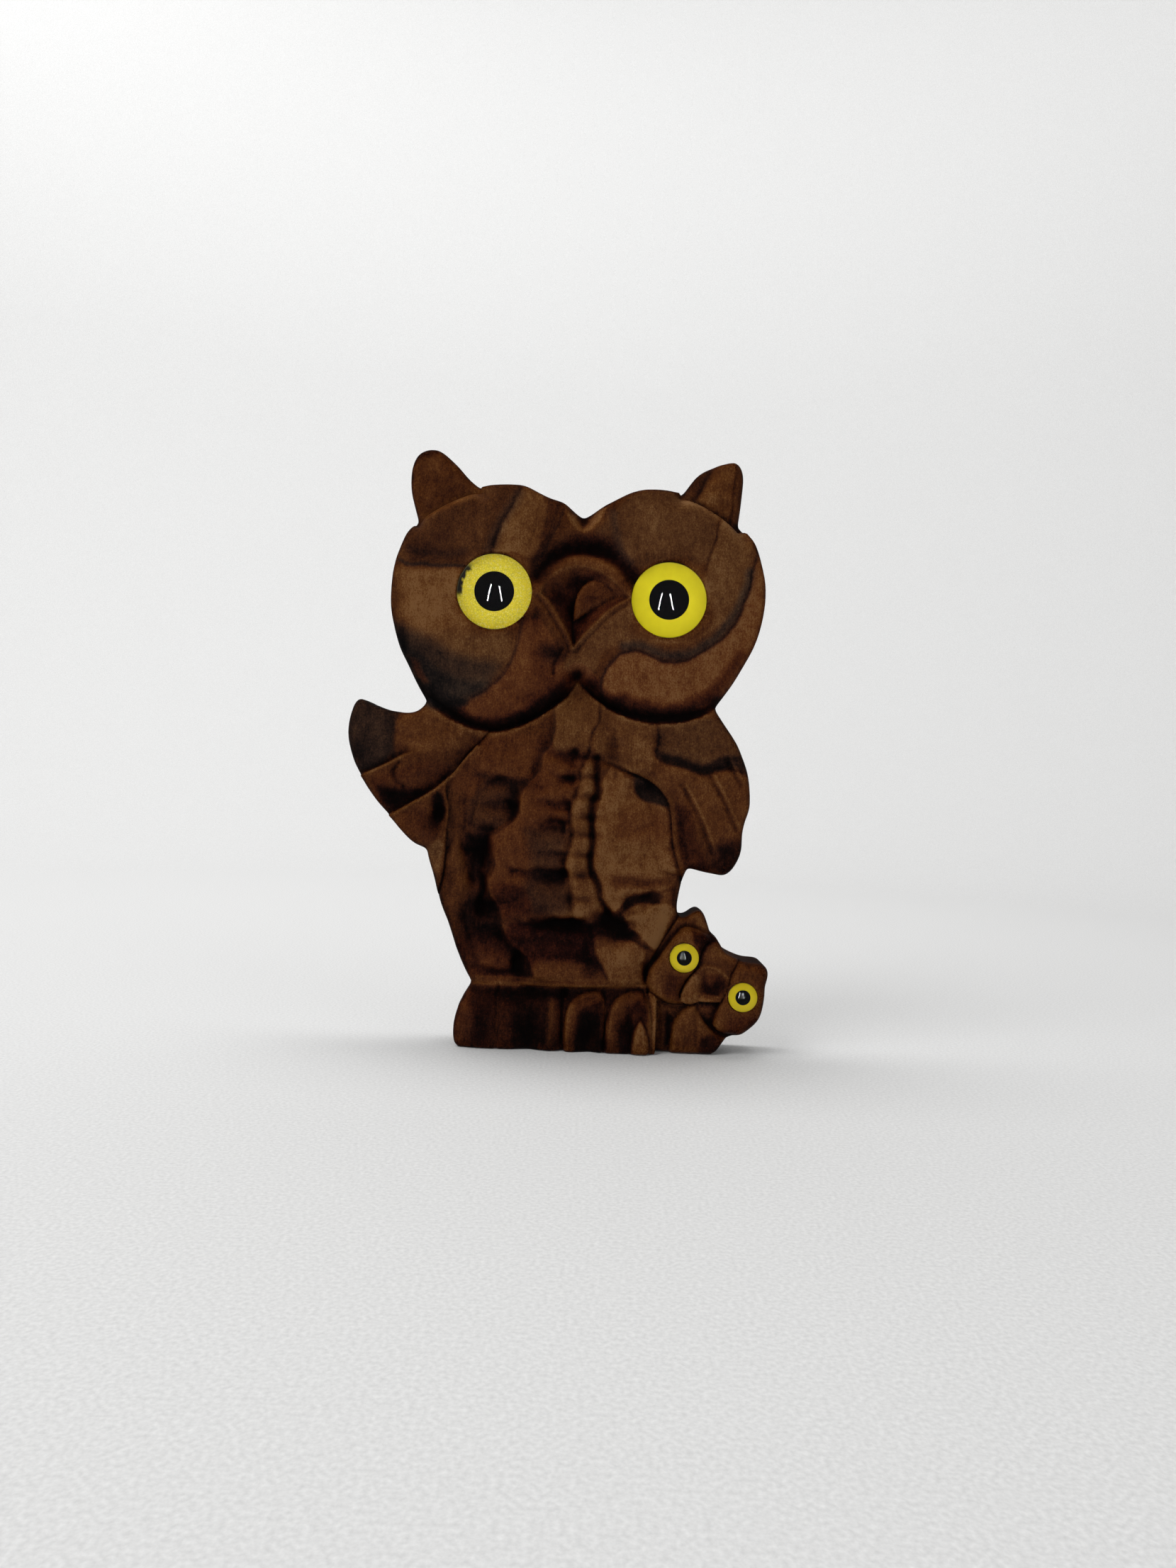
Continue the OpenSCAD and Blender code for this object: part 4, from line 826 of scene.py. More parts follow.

# pale lines along ridges and edges: partly where the tool's edge and handling left the wood pale, partly
# painted highlight where they catch the light
PALE_WEAR_AND_HIGHLIGHTS = (
    (BROW, 0.3, 0.3), (BEAK_A, 0.5, 0.35), (BEAK_B, 0.5, 0.35), (LEDGE, 0.55, 0.8),
    (RIDGE_1[8:], 0.15, 0.5), (RIDGE_2 - (0, 0.15), 0.5, 0.35), (RAY_1, 0.34, 0.3), (RAY_2, 0.34, 0.3),
    (RAY_3, 0.34, 0.3), (SHOULDER_B + (0.7, 0.5), 0.3, 0.4), (HEAD_LOW_A - (0, 0.5), 0.5, 0.8),
    (HEAD_LOW_B - (0, 0.5), 0.42, 0.7), (EAR_A + (-0.3, 0.4), 0.5, 0.8), (EAR_B + (0.2, 0.3), 0.3, 0.5),
    (CHICK_BROW, 0.3, 0.3), (CHICK_LOW_A - (0, 0.4), 0.35, 0.3), (CHICK_BREAST[4:24] + (0.3, 0), 0.2, 0.3),
    ([(-56, 64.8), (-50, 67.6), (-46, 69.8)], 0.55, 0.35), ([(17.6, 13), (18, 8), (18.2, 2)], 0.4, 0.8),
    ([(31, 25.6), (35, 24.7), (40.6, 23.2)], 0.45, 0.8),
    ([(22.4, 34), (25.4, 35), (27.4, 31.6), (29, 29.6)], 0.35, 0.8),
    ([(-36, 54), (-36, 48), (-36.6, 43)], 0.2, 0.8), ([(-49.4, 122), (-49.6, 117)], 0.3, 0.8),
    ([(-34.6, 62), (-35, 56), (-34.6, 52)], 0.2, 0.3),
    ([(-26.6, 16.9), (-14, 17.1), (0, 17.2), (13, 17.4)], 0.3, 0.4),
    ([(28.6, 14.6), (30.6, 14.4), (32.4, 14.2)], 0.5, 0.25),
    ([(-4.3, 1), (-4.2, 6), (-3.8, 10), (-2.2, 12.6), (0.6, 13.9), (3, 14.1)], 0.32, 0.8),
    ([(-4.9, 12.6), (-5.1, 8), (-5, 2)], 0.3, 0.2), ([(4.2, 13), (4.9, 10), (5.3, 6)], 0.4, 0.2),
    ([(5.9, 5), (6.6, 9.6), (8, 13), (11, 14.4)], 0.34, 0.5),
    ([(-8.2, 12), (-8, 7), (-8.3, 2)], 0.34, 0.8), ([(-21.2, 13), (-21.1, 8), (-21.4, 2)], 0.3, 0.2),
    ([(14.4, 15), (15.6, 10), (16.8, 4)], 0.4, 0.3), ([(15.4, 15), (17, 10), (18, 4)], 0.34, 0.25),
    ([(16.6, 13.6), (18.4, 9.6)], 0.3, 0.25),
    ([(17.3, 16.2), (18, 20), (20.2, 24), (22.8, 28.4)], 0.3, 0.2),
    ([(23, 13.2), (24.4, 12.4), (26.4, 12.5)], 0.3, 0.25),
    ([(26.8, 20.4), (27.4, 18), (27.6, 15)], 0.3, 0.3),
    ([(-49.6, 118), (-50.4, 108), (-49.2, 99), (-44, 89)], 0.3, 0.3),
    ([(38.4, 100), (39.2, 108), (38.6, 115)], 0.3, 0.3), ([(-38.9, 46), (-37.4, 38.6)], 0.2, 0.4),
)

# painted shade in the hollows of the face: (x, z, half width, half height, share of the tone that goes)
HOLLOW_SHADE = (
    (-14, 114, 3, 3, 0.5), (8.6, 113.6, 2.4, 2.6, 0.5), (-17.6, 104, 3, 2, 0.5), (-6.2, 98.6, 1.4, 2.2, 0.4),
    (-46, 119, 4, 3, 0.3), (16, 118.8, 7, 1.6, 0.35), (-25, 101, 8, 1.8, 0.3), (-9.6, 96, 2.6, 2, 0.3),
    (-13, 92, 3, 4, 0.2),
)
# lighter spots where the cuts of the crown meet the ears
CROWN_NICKS = ((-29.4, 134), (18.8, 134.4), (35, 126))

# soft lights and darks, partly the wood's colour and partly painted light and shade: (x, z, half width, half
# height, change of tone)
SHADES = (
    # face and ears
    (-30, 125, 5, 4, 0.16), (-23, 127, 2.4, 6, 0.12), (15, 128, 9, 5, 0.16), (24, 121, 4, 4, 0.14),
    (28, 116, 2.4, 5, 0.14), (6, 119, 2.4, 3, 0.34), (-48, 119, 1.6, 3.4, 0.3), (-33.4, 112, 1.6, 4, 0.18),
    (-33, 85.6, 3, 2, 0.28), (-28, 88.6, 4, 1.8, 0.16), (-5.4, 122.6, 3, 2, 0.16), (30, 103, 3, 5, 0.08),
    (17, 98.4, 7, 1.4, 0.12), (26.4, 84, 2.4, 1.6, 0.3), (-25, 98, 3, 3, 0.08),
    (-11, 118.2, 2.6, 1.4, -0.28), (-1, 120, 3, 1.3, -0.26), (5.6, 113, 1.6, 1.6, -0.16),
    (-10, 108.6, 2, 1.8, -0.2), (-1.6, 109.2, 3, 1, -0.2), (-47.4, 98, 1.8, 4, -0.3),
    (-43, 95, 2, 2, -0.12), (-15, 104, 1, 3, -0.16), (-19, 103.6, 1.4, 1.6, -0.2),
    (-14, 84.6, 3.6, 2, -0.3), (-9.6, 88, 2.6, 2, -0.24), (-1.6, 89, 2, 2.4, -0.2),
    (-22, 81, 6, 1.6, -0.16), (8, 83, 5, 1.2, -0.1), (-7, 110, 1.6, 2, 0.2), (-6, 102.6, 1.4, 2, 0.16),
    (-9.6, 95.4, 1.6, 1.4, -0.16), (10, 129, 5, 4, 0.08), (-48.6, 108, 1.6, 4, -0.2),
    (-33, 119.6, 2, 2, 0.16), (13, 122, 7, 3, 0.06), (25, 135, 4, 4, 0.16), (22, 134, 3, 1.6, 0.24),
    (29.6, 129.6, 1.4, 2, 0.24), (-36, 132.4, 4, 1, 0.2), (-41.4, 140.6, 3, 1.6, 0.1),
    # wings and upper belly
    (-42, 72, 4, 1.3, 0.2), (-53.4, 76.6, 2, 3.4, 0.12), (-38.6, 60.6, 1, 2, 0.15), (-57, 70, 2, 3, -0.2),
    (-48, 58.4, 3, 1.4, -0.16), (-38.6, 54, 3.2, 3, -0.34), (-32, 69, 1.4, 2.4, -0.14),
    (-12.4, 73.4, 2, 1.6, -0.2), (-3, 71.6, 2, 1.6, -0.28), (4, 71, 2.6, 1.2, -0.22),
    (-18, 64, 4, 1.4, -0.28), (-5, 66.4, 1.4, 2, -0.12), (12, 67.6, 4, 1, -0.16), (18.6, 62, 1, 3, -0.18),
    (3.6, 76.4, 1.6, 3, 0.14), (11, 74, 2.6, 2.4, 0.14), (15, 71, 3, 1, 0.14), (16.6, 75.4, 1, 2, -0.14),
    (25, 76, 4, 3, 0.06), (30, 63, 3.4, 2.6, 0.12), (30, 48.6, 1.6, 2.6, 0.2), (26, 54, 1, 3, 0.12),
    (27, 45.4, 4, 1, -0.25), (-24.6, 48, 3, 1.6, -0.18), (-24.6, 54, 2, 1, -0.14), (-7, 53.4, 3, 1, -0.2),
    (-2.6, 54, 1.4, 1.2, -0.16), (-10, 55.6, 3, 1, 0.12), (-9, 49, 3, 1, 0.14), (-10, 44.6, 4, 1.2, 0.16),
    (-27.6, 41, 1.5, 5, 0.4), (-1.4, 42.6, 1.6, 2, -0.22), (-13, 41.6, 2, 1, -0.18),
    (-34.6, 41, 1.6, 3, -0.16), (14.6, 53, 4, 6, 0.08),
    # lower belly and the owlet's head
    (-20, 29, 1.6, 2, 0.25), (-12, 33.4, 4, 1.6, -0.24), (18.8, 36.6, 1.2, 4, 0.2),
    (16, 25.6, 1.6, 2, 0.25), (-31, 24, 2.4, 5, -0.16), (-18, 37, 4, 2, -0.22), (-28, 33, 1, 4, -0.2),
    (-23, 27.6, 3.4, 3, -0.3), (-31, 31, 1.6, 4, -0.14), (-3.4, 33.4, 2.4, 1.2, 0.34),
    (-8, 33.4, 2.6, 1, 0.2), (4.6, 34.6, 2, 1.6, 0.2), (13, 38.4, 5, 0.9, 0.3), (9.6, 31.4, 1.6, 1.4, 0.2),
    (5, 29, 3, 1.8, -0.4), (10.4, 34, 2.4, 1, -0.34), (-7, 29.6, 8, 1.4, -0.22), (-0.4, 25, 1.6, 5, -0.3),
    (1.4, 20, 2, 2.4, -0.3), (-6, 22.6, 6, 1.2, -0.16), (18, 29.4, 1.4, 4, 0.3), (8, 22.4, 3, 3, 0.2),
    (13.6, 22.6, 1, 1.6, 0.24), (-17, 23.6, 1.6, 1.4, 0.24), (-19, 18.2, 7, 1, -0.14),
    (-25, 20.6, 2, 1.6, 0.12), (20.4, 37.6, 1, 3, -0.3), (29.6, 18.6, 2.6, 2, 0.42),
    (42, 20, 1.4, 3, -0.2), (25, 34.6, 2, 1.6, 0.3), (28, 31, 2, 1.2, 0.24), (36, 24.2, 5, 0.9, 0.4),
    (23, 24.6, 1, 1, -0.2),
    # log, toes and the owlet's breast
    (-15.4, 9.4, 1.6, 2, 0.16), (-25, 5, 2.4, 5, -0.26), (-9, 6, 1.4, 5, -0.26), (2.6, 6, 1.4, 5, -0.26),
    (8.4, 5.4, 1, 4, -0.26), (-8, 12.8, 9, 1.2, -0.24), (-20, 13, 6, 1.4, -0.16), (0, 2, 16, 1.4, -0.2),
    (-29, 12.6, 1.2, 3.6, 0.3), (11.4, 9, 1.2, 1.6, 0.2), (17.4, 8, 1, 6, 0.4), (20, 12, 2, 1.8, 0.25),
    (25, 2.6, 3, 1.4, -0.2), (29, 12, 2, 2.2, 0.4), (32, 6.6, 1.6, 1.6, 0.24), (35.6, 6, 3, 1, -0.2),
    (40.6, 9, 1.4, 2, -0.16),
)


def relax(values, edges, rounds):
    """Values blurred over the mesh's edges."""
    count = np.bincount(edges.ravel(), minlength=len(values)).astype(float)
    for _ in range(rounds):
        total = np.bincount(edges[:, 0], values[edges[:, 1]], len(values))
        total += np.bincount(edges[:, 1], values[edges[:, 0]], len(values))
        values = 0.5 * values + 0.5 * total / np.maximum(count, 1)
    return values


def wood_colour_and_shade(P):
    """Tone, rust and ash of the wood at points (x, z), with painted shade and light worked into the tone."""
    tone = np.full(len(P), 0.55)
    rust = np.full(len(P), 0.25)
    ash = np.zeros(len(P))
    warp = np.stack([fog(P, 3.5, 1.0), fog(P, 3.5, 5.0)], 1) * 0.35
    Q = P + warp
    for points, t, r, a, soft in FIELDS:
        loop = loop_of(points)
        near = ((Q > loop.min(0) - 2 * soft) & (Q < loop.max(0) + 2 * soft)).all(1)
        w = np.zeros(len(P))
        w[near] = step_up(signed(Q[near], loop), -soft, soft)
        tone += w * (t - tone)
        rust += w * (r - rust)
        ash += w * (a - ash)
    # painted shade in the gouge cuts and under the discs
    cut = np.clip(scooped(P + (0, -0.5)), 0, 2) * within(P, BELLY)
    tone *= 1 - 0.66 * step_up(cut, 0.1, 2.2)
    rust += 0.25 * np.clip(cut, 0, 1) * (1 - rust)
    d = signed(Q, HEAD, 6)
    low = step_up(96 - P[:, 1], 0, 8) * (d > -0.2)
    low *= 1 - 0.6 * oval(P, -4.5, 90, 5, 5)
    tone *= 1 - 0.93 * low * (1 - step_up(d, 1.4, 4.4 + 0.6 * warp[:, 0]))
    rust = np.where(low * (d < 4) > 0.1, 0.7, rust)
    # painted shade in the trough over the brow
    tone *= 1 - 0.5 * bell(distance(Q, TROUGH), 2.0) * (P[:, 1] > 110)
    # painted shade in the hollows of the face
    for *spot, dark in HOLLOW_SHADE:
        tone *= 1 - dark * oval(Q, *spot)
    for *spot, gain in SHADES:
        tone += gain * oval(Q, *spot)
    # painted shade in the dents at each wave of the rib and in the groove beside it
    for z in RIB_WAVES:
        tone -= 0.2 * oval(Q, -0.6 - 0.05 * (71 - z), z + 0.3, 2.8, 0.9)
    tone -= 0.22 * bell(distance(Q, RIB_RIGHT + (0.6, 0)), 0.8)
    tone = np.maximum(tone, 0.02)
    for points, dark, width, grey in VEINS:
        w = bell(distance(Q, line_of(points), 3 * width), width)
        tone -= w * dark * np.maximum(tone, 0.3)
        ash = np.maximum(ash, w * grey * 0.8)
    return tone, rust, ash


def paint_carving():
    mesh = wood_obj.data
    co = np.empty(len(mesh.vertices) * 3)
    mesh.vertices.foreach_get("co", co)
    co = co.reshape(-1, 3) / MM
    P, level = co[:, (0, 2)], -co[:, 1]
    edges = np.empty(len(mesh.edges) * 2, int)
    mesh.edges.foreach_get("vertices", edges)
    edges = edges.reshape(-1, 2)
    tone, rust, ash = wood_colour_and_shade(P)
    n = len(DEPTH)
    front = np.arange(len(P)) < n
    near_mean = relax(level, edges, 14)
    wide_mean = relax(near_mean, edges, 120)
    hollow = np.clip(near_mean - level, -1, 1) * front
    basin = np.clip(wide_mean - level, -1.5, 1.5) * front
    # painted shade in the hollows; rises and ridges made lighter, partly wear and partly painted highlight
    tone = tone * (1 - 1.7 * np.clip(hollow, 0, 0.36)) - 0.16 * np.clip(basin, 0, 1.5)
    tone = tone + 0.6 * np.clip(-hollow, 0, 0.25) * tone + 0.05 * np.clip(-basin, 0, 1)
    depth = np.zeros(len(P))
    depth[:n] = DEPTH
    # painted shade along the front's outline, less at the foot; the sides are made darker too
    edge_dark = np.where(front, 0.6 * bell(depth, 0.5) + 0.5 * bell(depth, 1.7), 1.0)
    edge_dark *= 1 - 0.5 * step_up(0.8 - P[:, 1], 0, 0.6)
    # pale lines: partly wear, partly painted highlight on ridges and edges
    for points, gain, width in PALE_WEAR_AND_HIGHLIGHTS:
        w = bell(distance(P[:n], line_of(points), 3 * width), width)
        tone[:n] += gain * w * (1 - tone[:n])
        rust[:n] *= 1 - 0.5 * w
    tone = tone * (1 - 0.42 * edge_dark)
    tone = np.where(front | (level < BACK_H + 1), tone, 0.8 * tone)
    for at in CROWN_NICKS:
        tone[:n] += 0.25 * bell(np.hypot(*(P[:n] - at).T), 2)
    back = level < BACK_H + 0.3
    plain = 0.5 + 0.16 * fog(P * (0.6, 0.16), 3.0, 12.0) - 0.1 * ash
    tone = np.where(back, 0.55 * plain + 0.45 * tone, tone)
    for name, values in (("tone", tone), ("rust", rust), ("ash", ash), ("hollow", hollow + 0.4 * basin)):
        layer = mesh.attributes.new(name, "FLOAT", "POINT")
        layer.data.foreach_set("value", np.clip(values, -1, 1.2).astype(np.float32))


paint_carving()


# ---------------------------------------------------------------- materials

class Nodes:
    """Short way to add and link shader nodes."""

    def __init__(self, mat):
        mat.use_nodes = True
        self.tree = mat.node_tree
        self.shader = self.tree.nodes["Principled BSDF"]

    def add(self, kind, **settings):
        node = self.tree.nodes.new("ShaderNode" + kind)
        for key, value in settings.items():
            setattr(node, key, value)
        return node

    def link(self, source, target):
        self.tree.links.new(source, target)

    def feed(self, socket, value):
        if isinstance(value, bpy.types.NodeSocket):
            self.link(value, socket)
        else:
            socket.default_value = value

    def set(self, name, value):
        self.feed(self.shader.inputs[name], value)

    def math(self, operation, a, b, clamp=False):
        node = self.add("Math", operation=operation, use_clamp=clamp)
        self.feed(node.inputs[0], a)
        self.feed(node.inputs[1], b)
        return node.outputs[0]

    def mix(self, factor, a, b):
        node = self.add("Mix", data_type="RGBA")
        self.feed(node.inputs[0], factor)
        self.feed(node.inputs[6], a)
        self.feed(node.inputs[7], b)
        return node.outputs[2]

    def attribute(self, name):
        return self.add("Attribute", attribute_name=name).outputs["Fac"]

    def place(self, per_mm):
        """Position counted in cells, that many per millimetre along x, y, z."""
        mapping = self.add("Mapping")
        mapping.inputs["Scale"].default_value = [s / MM for s in per_mm]
        self.link(self.add("TexCoord").outputs["Object"], mapping.inputs["Vector"])
        return mapping.outputs[0]

    def noise(self, per_mm, detail=2.0, rough=0.5):
        node = self.add("TexNoise")
        node.inputs["Scale"].default_value = 1.0
        node.inputs["Detail"].default_value = detail
        node.inputs["Roughness"].default_value = rough
        self.link(self.place(per_mm), node.inputs["Vector"])
        return node.outputs["Fac"]

    def ramp(self, factor, stops):
        node = self.add("ValToRGB")
        self.link(factor, node.inputs[0])
        bar = node.color_ramp
        while len(bar.elements) < len(stops):
            bar.elements.new(0.5)
        for element, (at, color) in zip(bar.elements, stops):
            element.position = at
            element.color = (*color, 1)
        return node.outputs[0]

    def bump(self, height, strength, distance_mm):
        node = self.add("Bump")
        node.inputs["Strength"].default_value = strength
        node.inputs["Distance"].default_value = distance_mm * MM
        self.link(height, node.inputs["Height"])
        self.link(node.outputs[0], self.shader.inputs["Normal"])


def wood_material():
    mat = bpy.data.materials.new("rosewood")
    t = Nodes(mat)
    pores = t.noise((3.0, 3.0, 2.2), 3.0, 0.8)
    fibre = t.noise((1.9, 1.9, 0.2), 4.0, 0.75)
    cloud = t.noise((0.20, 0.20, 0.12), 4.0, 0.6)
    blot = t.noise((0.8, 0.8, 0.6), 3.0, 0.65)
    tone = t.attribute("tone")
    for wave, gain in ((cloud, 0.36), (blot, 0.40), (fibre, 0.42), (pores, 1.15)):
        tone = t.math("ADD", tone, t.math("MULTIPLY", t.math("SUBTRACT", wave, 0.5), gain))
    tone = t.math("MAXIMUM", t.math("MINIMUM", tone, 1.0), 0.0)
    brown = t.ramp(tone, [(0.0, (0.0016, 0.0006, 0.0004)), (0.22, (0.011, 0.0026, 0.0008)),
                          (0.45, (0.039, 0.0100, 0.0018)), (0.65, (0.072, 0.0225, 0.0040)),
                          (0.85, (0.115, 0.0440, 0.0100)), (1.0, (0.170, 0.0780, 0.0260))])
    red = t.ramp(tone, [(0.0, (0.0022, 0.0004, 0.0003)), (0.22, (0.016, 0.0018, 0.0009)),
                        (0.45, (0.050, 0.0082, 0.0018)), (0.65, (0.090, 0.0210, 0.0042)),
                        (0.85, (0.138, 0.0430, 0.0100)), (1.0, (0.190, 0.0780, 0.0250))])
    grey = t.ramp(tone, [(0.0, (0.002, 0.002, 0.0024)), (0.3, (0.0120, 0.0092, 0.0080)),
                         (0.6, (0.040, 0.0275, 0.0180)), (1.0, (0.105, 0.0720, 0.0430))])
    color = t.mix(t.attribute("rust"), brown, red)
    color = t.mix(t.attribute("ash"), color, grey)
    t.set("Base Color", color)
    rough = t.math("ADD", 0.40, t.math("MULTIPLY", pores, 0.22))
    rough = t.math("ADD", rough, t.math("MULTIPLY", t.attribute("hollow"), 0.25), clamp=True)
    t.set("Roughness", rough)
    t.set("Specular IOR Level", 0.12)
    grain = t.math("ADD", t.math("MULTIPLY", pores, 0.7), fibre)
    t.bump(grain, 0.6, 0.09)
    return mat


wood_obj.data.materials.append(wood_material())


# ---------------------------------------------------------------- glass eyes

def lathe(name, eye, profile, n):
    """Solid of revolution about the eye's axis.  profile is (radius, level) from the front's middle."""
    verts, faces = [], []
    for r, level in profile:
        if r == 0:
            verts.append((eye["x"], -level, eye["z"]))
        else:
            verts += [(eye["x"] + r * math.cos(2 * math.pi * i / n), -level,
                       eye["z"] + r * math.sin(2 * math.pi * i / n)) for i in range(n)]
    start = 0
    for (r0, _), (r1, _) in zip(profile[:-1], profile[1:]):
        size0, size1 = (1 if r0 == 0 else n), (1 if r1 == 0 else n)
        for i in range(n):
            j = (i + 1) % n
            a, b = start + i % size0, start + j % size0
            c, d = start + size0 + j % size1, start + size0 + i % size1
            faces.append(tuple(dict.fromkeys((b, a, d, c))))
        start += size0
    mesh = bpy.data.meshes.new(name)
    mesh.from_pydata([tuple(v * MM for v in p) for p in verts], [], faces)
    mesh.validate()
    mesh.shade_smooth()
    obj = bpy.data.objects.new(name, mesh)
    bpy.context.scene.collection.objects.link(obj)
    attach(obj, "root")
    return obj


def iris_material(name, crazed, light, dark):
    mat = bpy.data.materials.new(name)
    t = Nodes(mat)
    mottle = t.noise((0.5, 0.5, 0.5), 2.0)
    color = t.mix(mottle, (*dark, 1), (*light, 1))
    if crazed:
        cells = t.add("TexVoronoi", feature="DISTANCE_TO_EDGE")
        cells.inputs["Scale"].default_value = 2.4
        t.link(t.place((1, 1, 1)), cells.inputs["Vector"])
        crack = t.math("SUBTRACT", 1.0, t.math("MULTIPLY", cells.outputs[0], 5.0), clamp=True)
        fleck = t.math("SUBTRACT", t.noise((1.7, 1.7, 1.7), 3.0, 0.7), 0.52)
        fleck = t.math("MULTIPLY", fleck, 6.0, clamp=True)
        color = t.mix(t.math("MULTIPLY", fleck, 0.6), color, (0.95, 0.88, 0.36, 1))
        crack = t.math("MULTIPLY", crack, t.math("MULTIPLY", mottle, 0.75))
        color = t.mix(crack, color, (0.36, 0.26, 0.012, 1))
        color = t.mix(t.attribute("flaked"), color, (0.010, 0.007, 0.004, 1))
    # pale ring at the iris's edge: painted highlight of the glass rim
    rim = t.math("MULTIPLY", t.math("SUBTRACT", t.attribute("rim"), 0.93), 16.0, clamp=True)
    color = t.mix(t.math("MULTIPLY", rim, 0.55), color, (0.72, 0.66, 0.34, 1))
    t.set("Base Color", color)
    t.set("Roughness", 0.45)
    t.set("Specular IOR Level", 0.1)
    return mat


def plain_material(name, color, roughness, gloss=0.5):
    mat = bpy.data.materials.new(name)
    t = Nodes(mat)
    dust = t.noise((1.5, 1.5, 1.5), 2.0)
    shade = t.mix(dust, (*[c * 0.8 for c in color], 1), (*[c * 1.2 for c in color], 1))
    t.set("Base Color", shade)
    t.set("Roughness", roughness)
    t.set("Specular IOR Level", gloss)
    return mat


def glass_material():
    mat = bpy.data.materials.new("eye_glass")
    t = Nodes(mat)
    t.set("Base Color", (1, 1, 1, 1))
    t.set("Roughness", 0.0)
    t.set("IOR", 1.5)
    t.set("Transmission Weight", 1.0)
    return mat


GLASS = glass_material()
PUPIL = plain_material("pupil_black", (0.002, 0.002, 0.0025), 0.5, 0.0)
YELLOW_OLD = iris_material("iris_crazed", True, (0.96, 0.84, 0.07), (0.88, 0.68, 0.02))
YELLOW = iris_material("iris_smooth", False, (0.92, 0.80, 0.015), (0.82, 0.69, 0.010))
AMBER = iris_material("iris_small", False, (0.74, 0.60, 0.010), (0.62, 0.47, 0.008))
IRIS_LOOK = dict(zip(EYES, (YELLOW_OLD, YELLOW, AMBER, AMBER)))


def wear(obj, eye):
    """How far out each point is, which places the painted highlight at the iris's rim, and where the old
    paint has come off at the upper left.
    """
    mesh = obj.data
    out, off = [], []
    for v in mesh.vertices:
        dx, dz = v.co.x / MM - eye["x"], v.co.z / MM - eye["z"]
        angle = np.array(math.degrees(math.atan2(dz, dx)))
        r = math.hypot(dx, dz) / eye["r"]
        ragged = 0.05 * noise.noise(Vector((dx * 2.2, dz * 2.2, 2.0)))
        in_arc = step_up(angle, 128, 140) + step_up(-angle, 168, 178)
        cells = 0.343775 * float(angle)      # noise cells along the arc
        stroke = 0.10 * noise.noise(Vector((cells, 3.0, 7.0)))
        out.append(r)
        off.append(float(in_arc) * float(step_up(np.array(r + ragged + stroke), 0.79, 0.82)))
    mesh.attributes.new("rim", "FLOAT", "POINT").data.foreach_set("value", out)
    mesh.attributes.new("flaked", "FLOAT", "POINT").data.foreach_set("value", off)


def build_eye(eye):
    name, r, back, top = eye["name"], eye["r"], eye["back"], eye["top"]
    rise = GLASS_RIM * (top - back)
    cap = top - back - rise
    R = (r * r + cap * cap) / (2 * cap)
    arc = [(r * k / 20, top - R + math.sqrt(R * R - (r * k / 20) ** 2)) for k in range(20)]
    arc += [(r * 0.985, back + rise + 0.06 * cap), (r, back + rise - 0.02 * cap)]
    arc += [(r, back + 0.05), (r - 0.05, back), (0, back)]
    glass = lathe(name + "_dome", eye, arc, 96)
    glass.data.materials.append(GLASS)
    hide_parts(name + "_glass")
    face, coat_r = back + 0.10, r - 0.12
    rings = [(coat_r * k / 24, face) for k in range(25)]
    iris = lathe(name + "_paint", eye, rings + [(coat_r, eye["coat_back"]), (0, eye["coat_back"])], 96)
    iris.data.materials.append(IRIS_LOOK[name])
    wear(iris, eye)
    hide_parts(name + "_iris")
    dot, dot_r = face + 0.04, eye["pupil_r"]
    pupil = lathe(name + "_dot", eye, [(0, dot), (dot_r * 0.97, dot), (dot_r, dot - 0.01),
                                       (dot_r, face - 0.05), (0, face - 0.05)], 64)
    pupil.data.materials.append(PUPIL)
    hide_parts(name + "_pupil")


for eye in EYE_SPECS:
    build_eye(eye)

WIRE = plain_material("wire_steel", (0.40, 0.39, 0.37), 0.35)
WIRE.node_tree.nodes["Principled BSDF"].inputs["Metallic"].default_value = 1.0
GLUE = plain_material("old_glue", (0.45, 0.34, 0.18), 0.5)
for name in EYES:
    for part, look in (("_wire", WIRE), ("_glue", GLUE)):
        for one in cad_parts[name + part].material_slots:
            one.material = look


# ---------------------------------------------------------------- stage, light, camera

def stage():
    """Pale round floor that bends up into a wall."""
    flat, bend, wall_top = 0.5, 0.5, 1.7
    profile = [(flat, 0)]
    for a in np.linspace(0.1, math.pi / 2, 12):
        profile.append((flat + bend * math.sin(a), bend - bend * math.cos(a)))
    profile.append((flat + bend, wall_top))
    n = 64
    verts, faces = [(0, 0, 0)], []
    for r, z in profile:
        verts += [(r * math.cos(2 * math.pi * i / n), r * math.sin(2 * math.pi * i / n), z)
                  for i in range(n)]
    faces += [(0, 1 + i, 1 + (i + 1) % n) for i in range(n)]
    for k in range(len(profile) - 1):
        a, b = 1 + k * n, 1 + (k + 1) * n
        faces += [(a + i, b + i, b + (i + 1) % n, a + (i + 1) % n) for i in range(n)]
    mesh = bpy.data.meshes.new("sweep")
    mesh.from_pydata(verts, [], faces)
    mesh.shade_smooth()
    obj = bpy.data.objects.new("sweep", mesh)
    bpy.context.scene.collection.objects.link(obj)
    mesh.materials.append(plain_material("paper", (0.70, 0.70, 0.697), 0.9))
    obj.visible_glossy = False


def area_light(name, place, aim, size, power):
    data = bpy.data.lights.new(name, "AREA")
    data.shape = "RECTANGLE"
    data.size, data.size_y = size
    data.energy = power
    obj = bpy.data.objects.new(name, data)
    obj.location = place
    obj.rotation_euler = (Vector(aim) - Vector(place)).to_track_quat("-Z", "Y").to_euler()
    obj.visible_camera = False
    bpy.context.scene.collection.objects.link(obj)
    return obj


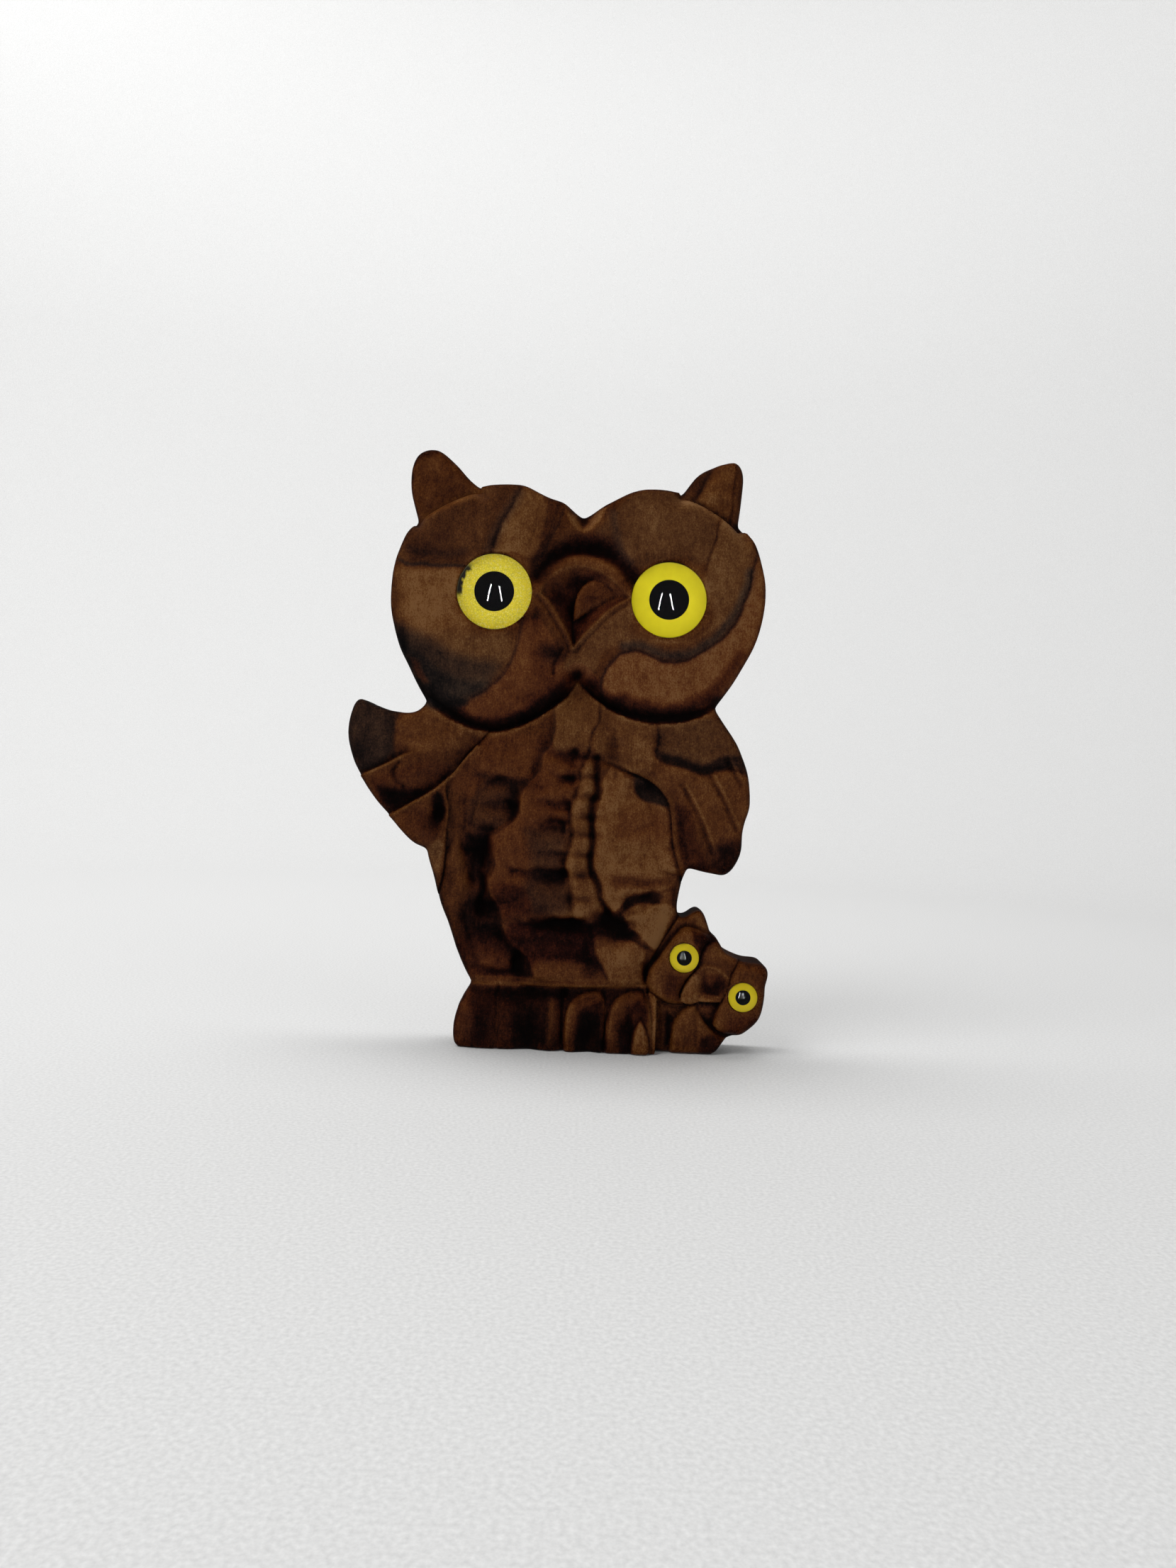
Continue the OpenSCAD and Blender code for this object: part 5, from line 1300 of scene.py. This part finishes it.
def strip(name, upper, lower, width, power):
    """Thin lamp between two points, shining toward +Y."""
    upper, lower = Vector(upper), Vector(lower)
    obj = area_light(name, (upper + lower) / 2, (0, 0, 0), (width, (upper - lower).length), power)
    along = (upper - lower).normalized()
    side = along.cross(Vector((0, -1, 0))).normalized()
    obj.rotation_euler = Matrix((side, along, side.cross(along))).transposed().to_euler()
    return obj


stage()
MIDDLE = (0, 0, 0.07)           # about the middle of the figurine
key = area_light("key", (-0.48, -0.46, 0.64), MIDDLE, (0.5, 0.5), 3.4)
fill = area_light("fill", (0.62, -0.60, 0.26), MIDDLE, (0.5, 0.5), 0.8)
wall_light = area_light("wall_light", (-0.2, 0.2, 1.1), (-0.15, 1.0, 0.0), (1.2, 0.5), 9.4)
top = area_light("top", (-0.25, 0.05, 1.1), MIDDLE, (0.6, 0.6), 0.5)
for lamp in (key, fill, wall_light, top):
    lamp.visible_glossy = False
glint_a = strip("glint_a", (-0.12, -0.59, 0.31), (-0.20, -0.59, -0.07), 0.026, 1.5)
glint_b = strip("glint_b", (0.05, -0.59, 0.29), (0.13, -0.59, -0.06), 0.026, 1.4)
# the strips only light the glass domes, which mirror them
domes = bpy.data.collections.new("domes")
for eye in EYE_SPECS:
    domes.objects.link(bpy.data.objects[eye["name"] + "_dome"])
for lamp in (glint_a, glint_b):
    lamp.visible_diffuse = False
    lamp.light_linking.receiver_collection = domes

scene = bpy.context.scene
scene.view_settings.view_transform = "Standard"
world = bpy.data.worlds.new("room")
scene.world = world
world.use_nodes = True
background = world.node_tree.nodes["Background"]
background.inputs["Color"].default_value = (1, 1, 1, 1)
background.inputs["Strength"].default_value = 0.10

ROLL = math.radians(2.14)       # the figurine leans a little to the side in the view
cam_data = bpy.data.cameras.new("camera")
cam_data.sensor_width = 36
cam_data.lens = 26
cam_data.clip_start = 0.005
camera = bpy.data.objects.new("camera", cam_data)
right = Vector((math.cos(ROLL), 0, math.sin(ROLL)))
up = Vector((-math.sin(ROLL), 0, math.cos(ROLL)))
turn = Matrix((right, up, Vector((0, -1, 0)))).transposed()
camera.matrix_world = Matrix.Translation((-0.0013, -0.2798, 0.06465)) @ turn.to_4x4()
scene.collection.objects.link(camera)
scene.camera = camera
